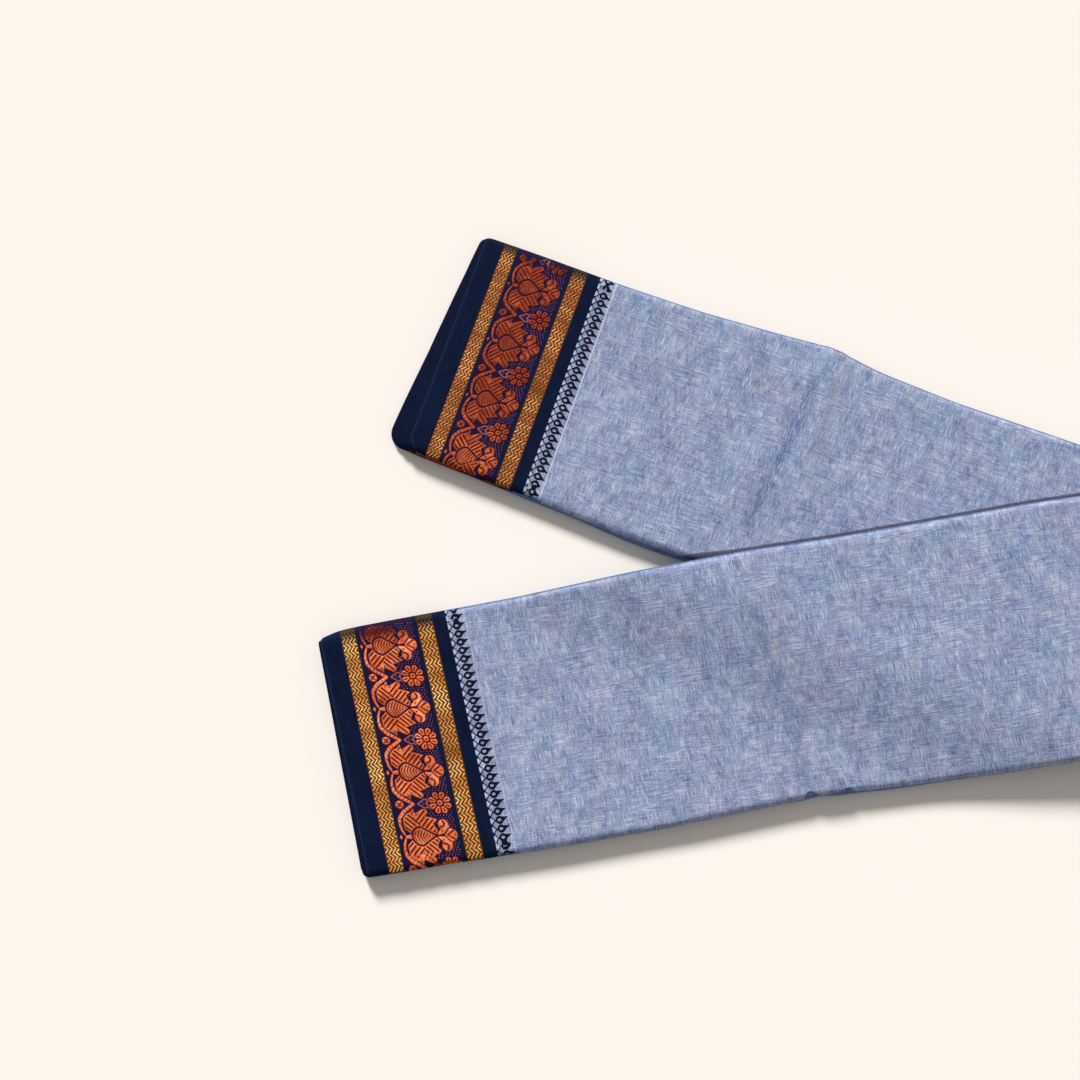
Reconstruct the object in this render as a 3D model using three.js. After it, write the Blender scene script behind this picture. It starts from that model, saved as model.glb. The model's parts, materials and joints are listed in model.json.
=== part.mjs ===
// Cotton saree, folded into a long strip that is laid over itself in a V. Millimetres, +Z up.
// The cloth is halved five times along its length, so the strip is as long as the cloth is wide
// and both woven borders lie at its two ends. The under arm lies on the surface, the strip turns
// over, and the over arm crosses the under arm and sags to the surface beside it.
import * as THREE from 'three';

// Driving dimensions
const CLOTH_LENGTH = 5500;
const TIMES_HALVED = 5;
const STRIP_WIDTH = CLOTH_LENGTH / 2 ** TIMES_HALVED;
const PILE_HEIGHT = 10;
const CLOTH_WALL = 1.4;
const SEAM = 0.3;
const TURN_INNER_RADIUS = 1.5;
const UNDER_HEADING = -20.7;
const OVER_HEADING = 9.7;
const UNDER_LENGTH = 538.9;
const OVER_LENGTH = 572.8;
const SAG_START = 10;
const SAG_LENGTH = 55;
const TURN_EASE = 45;
const EDGE_ROLL = 9;
const EDGE_DROP = 0.28;
const CREASE_HEIGHT = 1.4;
const CREASE_HALF_WIDTH = 15;
const CREASE_FADE = 35;

// Border bands of the cloth, counted inward from the selvedge
const BANDS = [
  { name: 'selvedge_navy', width: 14.0, colour: 0x14213f, roughness: 0.8, metalness: 0 },
  { name: 'outer_zari', width: 10.2, colour: 0xc08a3e, roughness: 0.45, metalness: 0.7 },
  { name: 'brocade', width: 41.8, colour: 0x7a3327, roughness: 0.6, metalness: 0.3 },
  { name: 'inner_zari', width: 11.0, colour: 0xc08a3e, roughness: 0.45, metalness: 0.7 },
  { name: 'inner_navy', width: 9.2, colour: 0x14213f, roughness: 0.8, metalness: 0 },
  { name: 'temple_band', width: 14.0, colour: 0x8790ac, roughness: 0.85, metalness: 0 },
];

// Half widths of the strip on each side of an arm's centre line, at distances from its end
const HALF = STRIP_WIDTH / 2;
const UNDER_HALF_WIDTHS = [
  { at: -20, far: HALF - 5.0, near: HALF - 6.0 },
  { at: 45, far: HALF - 4.4, near: HALF - 4.6 },
  { at: 105, far: HALF - 4.4, near: HALF - 3.0 },
  { at: 165, far: HALF - 2.4, near: HALF - 1.0 },
  { at: 220, far: HALF + 2.0, near: HALF - 2.0 },
  { at: 262, far: HALF + 6.2, near: HALF - 2.0 },
  { at: 278, far: HALF + 3.0, near: HALF - 1.6 },
  { at: 300, far: HALF + 0.8, near: HALF - 1.0 },
  { at: 353, far: HALF - 0.6, near: HALF },
  { at: 439, far: HALF + 1.0, near: HALF },
  { at: 500, far: HALF + 2.0, near: HALF },
];
const OVER_HALF_WIDTHS = [
  { at: -20, far: HALF - 5.6, near: HALF - 5.4 },
  { at: 50, far: HALF - 2.8, near: HALF - 5.0 },
  { at: 133, far: HALF - 0.4, near: HALF - 3.6 },
  { at: 216, far: HALF + 2.7, near: HALF - 4.0 },
  { at: 278, far: HALF + 3.7, near: HALF - 6.0 },
  { at: 306, far: HALF + 3.6, near: HALF - 7.3 },
  { at: 354, far: HALF + 2.7, near: HALF - 4.2 },
  { at: 420, far: HALF + 2.8, near: HALF - 1.6 },
  { at: 490, far: HALF + 3.4, near: HALF - 0.6 },
  { at: 545, far: HALF + 2.0, near: HALF },
];

// Hidden leaves under the top cloth, from the top down: share of their height, how far the fold
// bulges sideways, and how far the cut end stands out past the top cloth on each arm
const LEAVES = [
  { share: 1.0, bulge: -1.6, underFar: 0.6, underNear: 7.0, overFar: 0.2, overNear: 3.6 },
  { share: 0.92, bulge: -0.2, underFar: 0.8, underNear: 7.4, overFar: 0.3, overNear: 3.9 },
  { share: 0.76, bulge: -1.8, underFar: 0.8, underNear: 7.2, overFar: 0.3, overNear: 3.7 },
  { share: 0.72, bulge: -1.8, underFar: 1.8, underNear: 12.2, overFar: 0.4, overNear: 5.0 },
  { share: 0.62, bulge: 0.0, underFar: 2.2, underNear: 12.6, overFar: 0.5, overNear: 5.2 },
  { share: 0.5, bulge: -1.7, underFar: 2.0, underNear: 12.4, overFar: 0.4, overNear: 5.0 },
  { share: 0.46, bulge: -1.7, underFar: 3.0, underNear: 15.6, overFar: 0.6, overNear: 4.6 },
  { share: 0.34, bulge: -0.1, underFar: 3.4, underNear: 16.0, overFar: 0.8, overNear: 4.8 },
  { share: 0.22, bulge: -1.6, underFar: 3.2, underNear: 15.8, overFar: 0.6, overNear: 4.6 },
  { share: 0.1, bulge: -0.4, underFar: 3.2, underNear: 15.8, overFar: 0.4, overNear: 4.2 },
  { share: 0.0, bulge: -1.2, underFar: 2.8, underNear: 15.2, overFar: 0.2, overNear: 3.8 },
];
const LEAVES_TOP = PILE_HEIGHT - CLOTH_WALL - SEAM;

// Edge of one cloth wall, from its top face down: a rounded fold
const WALL_EDGE = [
  { share: 1.0, bulge: -0.6 },
  { share: 0.5, bulge: 0.0 },
  { share: 0.0, bulge: -0.6 },
];

// Places across the strip, as shares of the half width, and steps along it
const ACROSS = [-1, -0.97, -0.9, -0.6, -0.3, 0, 0.3, 0.6, 0.9, 0.97, 1];
const FIELD_SPANS = 20;
const TURN_SPANS = 9;

const ARMS = {
  under: {
    heading: UNDER_HEADING,
    length: UNDER_LENGTH,
    lean: 1,
    halfWidths: UNDER_HALF_WIDTHS,
    endAt: 4.5,
    endSkew: -0.0194,
    farCorner: 5,
    nearCorner: 12,
    creaseAt: 254,
    creaseSkew: 0.112,
    creaseNearFade: -52,
    farStep: 'underFar',
    nearStep: 'underNear',
  },
  over: {
    heading: OVER_HEADING,
    length: OVER_LENGTH,
    lean: -1,
    halfWidths: OVER_HALF_WIDTHS,
    endAt: -0.6,
    endSkew: -0.0567,
    farCorner: 4,
    nearCorner: 4,
    creaseAt: 302,
    creaseSkew: -0.125,
    creaseNearFade: -200,
    farStep: 'overFar',
    nearStep: 'overNear',
  },
};

// Directions of the turn: it faces midway between the arms and its axis lies across that
const MID_HEADING = (UNDER_HEADING + OVER_HEADING) / 2;
const LEAN = THREE.MathUtils.degToRad((OVER_HEADING - UNDER_HEADING) / 2);
const OUTWARD = direction(MID_HEADING);
const AXIS = direction(MID_HEADING + 90);
const TURN_SETBACK = (TURN_INNER_RADIUS + PILE_HEIGHT / 2) * Math.PI / 2;
const TURN_AXIS_HEIGHT = PILE_HEIGHT + TURN_INNER_RADIUS;

function direction(degrees) {
  const angle = THREE.MathUtils.degToRad(degrees);
  return new THREE.Vector2(Math.cos(angle), Math.sin(angle));
}

// Value of a table's column at a distance, eased between its rows
function lookUp(table, column, at) {
  const last = table.length - 1;
  if (at <= table[0].at) return table[0][column];
  if (at >= table[last].at) return table[last][column];
  const index = table.findIndex((row) => row.at > at);
  const [before, after] = [table[index - 1], table[index]];
  const share = (at - before.at) / (after.at - before.at);
  return THREE.MathUtils.lerp(before[column], after[column], share);
}

function halfWidth(arm, along, side) {
  return lookUp(arm.halfWidths, side > 0 ? 'far' : 'near', along);
}

// Place across a strip of which one side is half wide: the rim stands out by the bulge
function acrossAt(half, share, bulge) {
  const onRim = Math.abs(share) === 1;
  return share * half + (onRim ? Math.sign(share) * bulge : 0);
}

// Plan position on an arm: along is measured from its end, across to the left of its heading
function planPoint(arm, along, across) {
  const ahead = direction(arm.heading);
  const left = direction(arm.heading + 90);
  return ahead.multiplyScalar(along - arm.length).addScaledVector(left, across);
}

// Distance along an arm at which its cloth starts to turn, at a place across the strip
function turnStart(arm, share, bulge) {
  const across = acrossAt(halfWidth(arm, arm.length, share), share, bulge);
  const back = TURN_SETBACK + SEAM + arm.lean * across * Math.sin(LEAN);
  return arm.length - back / Math.cos(LEAN);
}

// Distance along an arm of the top cloth's cut end, at a place across the strip
function endLine(arm, share) {
  return arm.endAt + arm.endSkew * share * halfWidth(arm, 0, share);
}

// How far a cut end is drawn back at a place across, to round the strip's corner
function cornerCut(arm, share) {
  const radius = share > 0 ? arm.farCorner : arm.nearCorner;
  const toEdge = halfWidth(arm, 0, share) * (1 - Math.abs(share));
  const inCorner = Math.max(0, radius - toEdge);
  return radius - Math.sqrt(radius ** 2 - inCorner ** 2);
}

// How much of the pile's height is lost where the cloth rolls over the long edges
function rollShare(toEdge) {
  return EDGE_DROP * Math.max(0, 1 - toEdge / EDGE_ROLL) ** 2;
}

// Raised crease across an arm, left by folding the strip in four for sale
function creaseRise(arm, along, across) {
  const away = (along - arm.creaseAt - arm.creaseSkew * across) / CREASE_HALF_WIDTH;
  const fade = THREE.MathUtils.smoothstep(across, arm.creaseNearFade, arm.creaseNearFade + CREASE_FADE);
  return CREASE_HEIGHT * Math.exp(-(away ** 2)) * fade;
}

// Height of the over arm's underside: on the under arm, sagging to the surface beside it
function overLift(point) {
  const arm = ARMS.under;
  const ahead = direction(arm.heading);
  const left = direction(arm.heading + 90);
  const along = point.dot(ahead) + arm.length;
  const beside = -halfWidth(arm, along, -1) - point.dot(left);
  const sagged = THREE.MathUtils.clamp((beside - SAG_START) / SAG_LENGTH, 0, 1);
  const sag = (1 + Math.cos(Math.PI * sagged)) / 2;
  const toTurn = -TURN_SETBACK - point.dot(OUTWARD);
  const ease = 1 - THREE.MathUtils.smoothstep(toTurn, 0, TURN_EASE);
  return (PILE_HEIGHT + SEAM) * sag + (2 * TURN_INNER_RADIUS - SEAM) * ease;
}

// Point of a straight arm: height is measured from the underside of its pile
function armPoint(arm, along, share, height, bulge) {
  const half = halfWidth(arm, along, share);
  const across = acrossAt(half, share, bulge);
  const rise = creaseRise(arm, along, across) * height / PILE_HEIGHT;
  const thickness = height * (1 - rollShare(half * (1 - Math.abs(share))));
  const plan = planPoint(arm, along, across);
  const lift = arm === ARMS.over ? overLift(plan) : 0;
  return new THREE.Vector3(plan.x, plan.y, lift + thickness + rise);
}

// Point of the turn: turned runs from 0 on the under arm to 1 on the over arm
function turnPoint(turned, share, height, bulge) {
  const atTurn = HALF + (share > 0 ? 2 : 0);
  const across = acrossAt(atTurn, share, bulge);
  const roll = rollShare(atTurn * (1 - Math.abs(share)));
  const inside = PILE_HEIGHT - height;
  const radius = TURN_INNER_RADIUS + inside * (1 - roll * turned) + height * roll * (1 - turned);
  const angle = Math.PI * turned;
  const sideways = across / Math.cos(LEAN) + TURN_SETBACK * Math.tan(LEAN) * (1 - 2 * turned);
  const plan = OUTWARD.clone().multiplyScalar(radius * Math.sin(angle) - TURN_SETBACK);
  plan.addScaledVector(AXIS, sideways);
  return new THREE.Vector3(plan.x, plan.y, TURN_AXIS_HEIGHT - radius * Math.cos(angle));
}

// Closed body between a top and an underside, with a wall of several levels all round.
// place(row, share, level) gives the point of a row, a place across and a level.
function layeredBody(spans, levels, place) {
  const positions = [];
  const faces = [];
  const columns = ACROSS.length;
  const addPoint = (point) => positions.push(point.x, point.y, point.z) / 3 - 1;
  const rim = rimPlaces(spans, columns - 1);
  const loops = levels.map((level) =>
    rim.map(([row, column]) => addPoint(place(row, ACROSS[column], level))));
  const cap = (level, loop, flip) => {
    const rimIndex = new Map(rim.map(([row, column], order) => [`${row},${column}`, loop[order]]));
    const grid = [];
    for (let row = 0; row <= spans; row += 1) {
      for (let column = 0; column < columns; column += 1) {
        const known = rimIndex.get(`${row},${column}`);
        grid.push(known ?? addPoint(place(row, ACROSS[column], level)));
      }
    }
    for (let row = 0; row < spans; row += 1) {
      for (let column = 0; column < columns - 1; column += 1) {
        const a = grid[row * columns + column];
        const b = grid[(row + 1) * columns + column];
        const c = grid[(row + 1) * columns + column + 1];
        const d = grid[row * columns + column + 1];
        faces.push(...(flip ? [a, c, b, a, d, c] : [a, b, c, a, c, d]));
      }
    }
  };
  cap(levels[0], loops[0], false);
  cap(levels[levels.length - 1], loops[loops.length - 1], true);
  for (let level = 0; level + 1 < levels.length; level += 1) {
    rim.forEach((_, order) => {
      const next = (order + 1) % rim.length;
      const [a, d] = [loops[level][order], loops[level][next]];
      const [b, c] = [loops[level + 1][order], loops[level + 1][next]];
      faces.push(a, b, c, a, c, d);
    });
  }
  const geometry = new THREE.BufferGeometry();
  geometry.setAttribute('position', new THREE.Float32BufferAttribute(positions, 3));
  geometry.setIndex(faces);
  geometry.computeVertexNormals();
  return geometry;
}

// Rows and columns of a grid's rim, once round, seen from above against the clock
function rimPlaces(lastRow, lastColumn) {
  const rim = [];
  for (let row = 0; row < lastRow; row += 1) rim.push([row, 0]);
  for (let column = 0; column < lastColumn; column += 1) rim.push([lastRow, column]);
  for (let row = lastRow; row > 0; row -= 1) rim.push([row, lastColumn]);
  for (let column = lastColumn; column > 0; column -= 1) rim.push([0, column]);
  return rim;
}

const COTTON = { colour: 0x93a0bf, roughness: 0.85, metalness: 0 };
const LAYERS = { colour: 0x6f7fa6, roughness: 0.9, metalness: 0 };

function addPiece(parent, name, look, geometry) {
  const material = new THREE.MeshStandardMaterial({
    color: look.colour,
    roughness: look.roughness,
    metalness: look.metalness,
  });
  const mesh = new THREE.Mesh(geometry, material);
  mesh.name = name;
  parent.add(mesh);
}

// Distance along an arm of a row of points: rows run from the cut end to the turn, with one span
// for each border band and even spans over the field
function rowAlong(arm, share, bulge, row) {
  const selvedge = endLine(arm, share);
  const bandCount = BANDS.length;
  const inBands = BANDS.slice(0, Math.min(row, bandCount)).reduce((sum, band) => sum + band.width, 0);
  const fieldShare = Math.max(0, row - bandCount) / FIELD_SPANS;
  return THREE.MathUtils.lerp(selvedge + inBands, turnStart(arm, share, bulge), fieldShare);
}

// Hidden leaves of one arm, as one body that is layered at its edges
function addLayers(parent, armName) {
  const arm = ARMS[armName];
  const spans = BANDS.length + FIELD_SPANS;
  const geometry = layeredBody(spans, LEAVES, (row, share, leaf) => {
    const step = THREE.MathUtils.lerp(leaf[arm.nearStep], leaf[arm.farStep], (share + 1) / 2);
    const out = row === 0 ? step - cornerCut(arm, share) : 0;
    const along = rowAlong(arm, share, leaf.bulge, row) - out;
    return armPoint(arm, along, share, leaf.share * LEAVES_TOP, leaf.bulge);
  });
  addPiece(parent, `${armName}_arm_layers`, LAYERS, geometry);
}

// One stretch of the top cloth, from one row to another, parted from its neighbours by seams
function topClothBody(arm, firstRow, lastRow) {
  const lastOfAll = BANDS.length + FIELD_SPANS;
  return layeredBody(lastRow - firstRow, WALL_EDGE, (step, share, edge) => {
    const row = firstRow + step;
    const atSeam = { [firstRow]: firstRow > 0 ? 1 : 0, [lastRow]: lastRow < lastOfAll ? -1 : 0 };
    const parted = (atSeam[row] ?? 0) * SEAM / 2;
    const corner = row === 0 ? cornerCut(arm, share) : 0;
    const along = rowAlong(arm, share, edge.bulge, row) + parted + corner;
    const height = PILE_HEIGHT - CLOTH_WALL * (1 - edge.share);
    return armPoint(arm, along, share, height, edge.bulge);
  });
}

function addTopCloth(parent, armName) {
  const arm = ARMS[armName];
  const bandCount = BANDS.length;
  BANDS.forEach((band, index) => {
    addPiece(parent, `${armName}_arm_${band.name}`, band, topClothBody(arm, index, index + 1));
  });
  const field = topClothBody(arm, bandCount, bandCount + FIELD_SPANS);
  addPiece(parent, `${armName}_arm_field`, COTTON, field);
}

// The turn: inner leaves, and the cloth that shows round the outside
function addTurn(parent) {
  const cloth = layeredBody(TURN_SPANS, WALL_EDGE, (row, share, edge) =>
    turnPoint(row / TURN_SPANS, share, CLOTH_WALL * edge.share, edge.bulge));
  addPiece(parent, 'turn_cloth', COTTON, cloth);
  const underside = CLOTH_WALL + SEAM;
  const layers = layeredBody(TURN_SPANS, LEAVES, (row, share, leaf) =>
    turnPoint(row / TURN_SPANS, share, underside + leaf.share * (PILE_HEIGHT - underside), leaf.bulge));
  addPiece(parent, 'turn_layers', LAYERS, layers);
}

// The whole saree, moved so that the middle of its footprint is the origin
function buildSaree() {
  const saree = new THREE.Group();
  for (const armName of ['under', 'over']) {
    addLayers(saree, armName);
    addTopCloth(saree, armName);
  }
  addTurn(saree);
  const middle = new THREE.Box3().setFromObject(saree).getCenter(new THREE.Vector3());
  saree.position.set(-middle.x, -middle.y, 0);
  return saree;
}

export default buildSaree();
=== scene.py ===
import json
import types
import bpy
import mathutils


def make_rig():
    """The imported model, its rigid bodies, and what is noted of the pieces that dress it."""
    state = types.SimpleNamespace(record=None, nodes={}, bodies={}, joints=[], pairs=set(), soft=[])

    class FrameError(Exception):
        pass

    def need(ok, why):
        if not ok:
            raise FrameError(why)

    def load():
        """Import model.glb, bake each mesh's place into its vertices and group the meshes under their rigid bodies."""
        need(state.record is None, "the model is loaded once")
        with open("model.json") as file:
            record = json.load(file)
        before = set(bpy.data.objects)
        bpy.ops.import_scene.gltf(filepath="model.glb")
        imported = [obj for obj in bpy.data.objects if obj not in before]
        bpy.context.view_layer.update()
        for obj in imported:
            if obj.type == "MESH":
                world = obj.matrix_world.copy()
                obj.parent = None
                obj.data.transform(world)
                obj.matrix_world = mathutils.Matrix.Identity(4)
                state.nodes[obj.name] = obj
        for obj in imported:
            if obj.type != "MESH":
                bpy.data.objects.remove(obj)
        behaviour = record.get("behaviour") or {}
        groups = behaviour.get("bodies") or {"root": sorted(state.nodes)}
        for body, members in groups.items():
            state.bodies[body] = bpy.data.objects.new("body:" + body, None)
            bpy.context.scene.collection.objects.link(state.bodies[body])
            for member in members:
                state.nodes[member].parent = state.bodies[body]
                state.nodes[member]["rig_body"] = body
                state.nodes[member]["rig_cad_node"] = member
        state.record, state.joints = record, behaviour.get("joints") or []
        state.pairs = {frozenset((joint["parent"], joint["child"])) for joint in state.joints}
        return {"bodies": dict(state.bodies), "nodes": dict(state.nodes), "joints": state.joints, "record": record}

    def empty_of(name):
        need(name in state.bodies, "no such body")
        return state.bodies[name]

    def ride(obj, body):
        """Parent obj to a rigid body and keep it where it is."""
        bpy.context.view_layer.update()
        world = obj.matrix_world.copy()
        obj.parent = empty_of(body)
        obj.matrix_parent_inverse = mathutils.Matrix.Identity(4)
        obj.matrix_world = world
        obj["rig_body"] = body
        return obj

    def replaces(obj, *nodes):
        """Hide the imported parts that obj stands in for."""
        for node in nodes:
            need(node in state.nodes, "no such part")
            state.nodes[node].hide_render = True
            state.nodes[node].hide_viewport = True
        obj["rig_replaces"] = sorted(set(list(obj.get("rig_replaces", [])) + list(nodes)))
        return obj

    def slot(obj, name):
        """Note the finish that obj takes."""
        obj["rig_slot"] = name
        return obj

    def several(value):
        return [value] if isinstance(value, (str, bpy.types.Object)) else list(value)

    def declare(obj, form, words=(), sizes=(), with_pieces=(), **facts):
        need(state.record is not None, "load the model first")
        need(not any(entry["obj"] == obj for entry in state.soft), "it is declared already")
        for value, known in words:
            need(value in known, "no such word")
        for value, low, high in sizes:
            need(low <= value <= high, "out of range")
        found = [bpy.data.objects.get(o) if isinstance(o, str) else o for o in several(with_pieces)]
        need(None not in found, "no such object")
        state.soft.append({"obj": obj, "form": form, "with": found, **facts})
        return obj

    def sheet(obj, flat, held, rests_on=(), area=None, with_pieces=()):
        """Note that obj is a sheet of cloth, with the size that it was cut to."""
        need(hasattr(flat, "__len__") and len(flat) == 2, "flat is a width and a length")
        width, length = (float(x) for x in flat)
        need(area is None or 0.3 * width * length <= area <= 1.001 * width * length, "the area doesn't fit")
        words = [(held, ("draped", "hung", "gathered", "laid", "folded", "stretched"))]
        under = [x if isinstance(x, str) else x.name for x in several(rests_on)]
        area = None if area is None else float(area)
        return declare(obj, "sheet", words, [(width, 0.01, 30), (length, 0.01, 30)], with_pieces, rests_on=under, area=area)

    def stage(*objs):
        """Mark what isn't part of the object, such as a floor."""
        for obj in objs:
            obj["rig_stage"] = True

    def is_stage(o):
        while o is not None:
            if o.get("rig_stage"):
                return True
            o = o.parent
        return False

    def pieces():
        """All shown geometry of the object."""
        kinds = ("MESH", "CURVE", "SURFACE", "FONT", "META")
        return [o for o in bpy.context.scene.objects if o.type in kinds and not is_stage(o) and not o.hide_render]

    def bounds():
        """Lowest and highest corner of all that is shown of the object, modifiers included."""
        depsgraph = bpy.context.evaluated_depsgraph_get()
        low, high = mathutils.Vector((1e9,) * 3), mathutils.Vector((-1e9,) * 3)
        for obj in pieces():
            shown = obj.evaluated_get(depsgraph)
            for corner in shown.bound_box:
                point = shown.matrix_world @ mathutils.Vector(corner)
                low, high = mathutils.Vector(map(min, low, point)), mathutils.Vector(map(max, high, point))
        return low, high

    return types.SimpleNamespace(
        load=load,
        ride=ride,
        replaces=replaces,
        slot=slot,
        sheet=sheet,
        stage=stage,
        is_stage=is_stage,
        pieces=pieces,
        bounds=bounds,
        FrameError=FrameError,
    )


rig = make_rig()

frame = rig.load()

import json
import math

import bpy
import numpy as np

CAD_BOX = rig.bounds()

# Folded cotton saree. All sizes in millimetres, as in the part's source, until a mesh is made.
# Distances along an arm run from its cut end to the turn; across is positive on the far side.
# The strip is the 5.5 m length halved five times.
STRIP_HALF = 5500.0 / 2 ** 5 / 2
PILE_HEIGHT = 10.0
SEAM = 0.3
TURN_INNER_RADIUS = 1.5
SAG_START = 8.0
SAG_LENGTH = 84.0
TURN_EASE = 45.0
EDGE_ROLL = 4.5
EDGE_DROP = 0.22
CREASE_HEIGHT = 1.0
CREASE_HALF_WIDTH = 15.0
CREASE_FADE = 35.0
TOP_CLOTH = 0.45
LEAF_COUNT = 14
LEAF_PEEK = 0.7

# Walls of a cloth shell: depths below its face, and how far the wall stands out at each
CLOTH_WALL = ((0.0, -0.18), (0.22, 0.0), (TOP_CLOTH, -0.18))
# The same for a folded leaf, with the depths as shares of its thickness
LEAF_WALL = ((0.06, -0.34), (0.3, -0.04), (0.7, -0.04), (0.94, -0.34))
LEAF_CLEARANCE = 0.03
SMOOTH_BELOW = 42.0

# From the meeting point of the arms' centre lines to the middle of the footprint
PLAN_SHIFT = np.array([287.178, -44.580, 0.0])

# Border bands, as distances of their edges from the selvedge
SELVEDGE_NAVY = (0.0, 14.0)
OUTER_ZARI = (14.0, 24.2)
BROCADE = (24.2, 66.0)
INNER_ZARI = (66.0, 77.0)
INNER_NAVY = (77.0, 86.2)
TEMPLE_BAND = (86.2, 100.2)
FIELD_START = 100.2

# Edges of the strip: distance along, then how far the far and near edges stand out past its half
UNDER_EDGES = np.array([
    (-20, -3.0, -6.0),
    (45, -2.2, -4.6),
    (105, -2.6, -3.0),
    (165, -1.2, -1.0),
    (220, 2.7, -2.0),
    (262, 6.6, -2.0),
    (278, 3.6, -1.6),
    (300, 1.2, -1.0),
    (353, -0.6, 0.0),
    (439, 1.0, 0.0),
    (500, 2.0, 0.0),
])
OVER_EDGES = np.array([
    (-20, -8.0, -5.4),
    (-6, -6.4, -5.3),
    (6, -3.2, -5.3),
    (20, -1.9, -5.2),
    (50, -1.2, -5.0),
    (133, -0.3, -3.6),
    (216, 2.7, -4.0),
    (278, 3.7, -6.0),
    (306, 3.6, -7.3),
    (354, 2.7, -4.2),
    (420, 2.8, -1.6),
    (490, 3.4, -0.6),
    (545, 2.0, 0.0),
])

# Cut ends of the hidden leaves, as they stand out past the top cloth: leaf, then far and near
UNDER_STEPS = np.array([
    (0, 0.8, 7.0),
    (3, 1.0, 7.3),
    (4, 2.4, 12.4),
    (7, 2.8, 12.8),
    (8, 4.0, 16.2),
    (13, 4.2, 16.4),
])
OVER_STEPS = np.array([
    (0, 0.7, 2.4),
    (3, 0.9, 2.7),
    (4, 1.5, 3.6),
    (7, 1.7, 3.8),
    (8, 1.4, 3.2),
    (13, 1.2, 3.0),
])

# Soft folds pressed in by handling: place along and across, heading from across the strip in
# degrees, half length, half width, and rise (a trough is negative)
UNDER_FOLDS = [
    (250, 6, -5, 58, 2.2, -0.50),
    (255, 2, -5, 50, 3.4, 0.12),
    (246, -48, -3, 14, 3.6, -0.60),
    (272, 60, 2, 30, 1.6, -0.35),
    (251, 88, 20, 7, 1.8, -0.70),
    (272, 88, -24, 7, 1.8, -0.80),
    (160, -30, 60, 60, 11.0, 0.30),
    (330, 10, 70, 90, 14.0, -0.35),
    (140, 40, -20, 40, 12.0, -0.25),
]
OVER_FOLDS = [
    (300, 80, 4, 11, 1.8, -0.80),
    (306, 78, 4, 13, 2.6, 0.40),
    (326, -69, 14, 13, 1.4, -0.95),
    (321, -68, 10, 14, 2.4, 0.50),
    (300, -74, 30, 6, 2.0, -0.50),
    (334, -29, -80, 5, 1.0, -0.30),
    (180, 0, 75, 70, 12.0, 0.30),
    (360, 30, 80, 90, 15.0, -0.35),
    (420, -20, 20, 70, 14.0, 0.30),
    (150, 20, 10, 60, 16.0, -0.25),
]

# The two arms. Lean says to which side the turn slants. End_at and end_skew place the cut end,
# and corners are its near and far radii. A crease or a line is its place along, its slant, the
# place across from which it shows, and for a line its strength. A peek is where the leaves show
# past the near edge: place along, spread and reach. Flower_at, flower_shear and leaf_at place the
# two repeats, and tip_side is the side to which the leaf tips bend. Cord is how pale the thick
# thread is, and gold is the gilt's shades, from shadow to glint: painted light, darker on the
# under arm, as in shade, and brighter on the over arm, as lit.
UNDER = {
    "name": "under_arm",
    "heading": -20.7,
    "length": 538.9,
    "lean": 1,
    "edges": UNDER_EDGES,
    "end_at": 4.5,
    "end_skew": -0.0194,
    "corners": (12.0, 5.0),
    "crease": (262.0, 0.030, -52.0),
    "worn_line": (273.0, -0.02, -25.0, 0.42),
    "crease_shade_line": (250.3, 0.085, -60.0, 0.72),
    "steps": UNDER_STEPS,
    "folds": UNDER_FOLDS,
    "peeks": [(190, 30, 1.2), (262, 12, 1.6)],
    "notches": [],
    "flower_at": 57.0,
    "flower_shear": 0.12,
    "leaf_at": 1.7,
    "tip_side": -1,
    "cord": 0.85,
    "gold": [(0.42, "#8e522c"), (0.54, "#b6743f"), (0.66, "#dc9f62")],
    "leaf_seed": 7,
    "dash_seed": 5,
}
OVER = {
    "name": "over_arm",
    "heading": 9.7,
    "length": 572.8,
    "lean": -1,
    "edges": OVER_EDGES,
    "end_at": -0.6,
    "end_skew": -0.0567,
    "corners": (4.0, 4.0),
    "crease": (302.0, -0.125, -200.0),
    "worn_line": (302.0, -0.125, -200.0, 0.22),
    "crease_shade_line": (292.0, -0.125, -90.0, 0.30),
    "steps": OVER_STEPS,
    "folds": OVER_FOLDS,
    "peeks": [(296, 9, 0.9), (320, 9, 0.7), (350, 30, 0.8)],
    "notches": [(295, 3.5, 9.5, 4.6), (322, 10.0, 5.0, 3.0)],
    "flower_at": 68.0,
    "flower_shear": -0.12,
    "leaf_at": -1.1,
    "tip_side": 1,
    "cord": 0.35,
    "gold": [(0.42, "#b4733a"), (0.54, "#e3a257"), (0.66, "#ffd486")],
    "leaf_seed": 11,
    "dash_seed": 9,
}


def heading_vector(degrees):
    angle = math.radians(degrees)
    return np.array([math.cos(angle), math.sin(angle)])


MID_HEADING = (UNDER["heading"] + OVER["heading"]) / 2
LEAN = math.radians((OVER["heading"] - UNDER["heading"]) / 2)
OUTWARD = heading_vector(MID_HEADING)
TURN_AXIS = heading_vector(MID_HEADING + 90)
TURN_SETBACK = (TURN_INNER_RADIUS + PILE_HEIGHT / 2) * math.pi / 2
TURN_AXIS_HEIGHT = PILE_HEIGHT + TURN_INNER_RADIUS


def smooth_step(value, low, high):
    """0 at low and 1 at high, eased at both."""
    share = np.clip((value - low) / (high - low), 0, 1)
    return share * share * (3 - 2 * share)


# The folded strip

def half_width(arm, along, side):
    """Half the strip's width on one side, with the corners of its table eased."""
    edges = arm["edges"]
    widths = []
    for column in (1, 2):
        eased = sum(np.interp(along + step, edges[:, 0], edges[:, column]) for step in (-6, 0, 6))
        widths.append(STRIP_HALF + eased / 3)
    return np.where(np.asarray(side) > 0, widths[0], widths[1])


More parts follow.
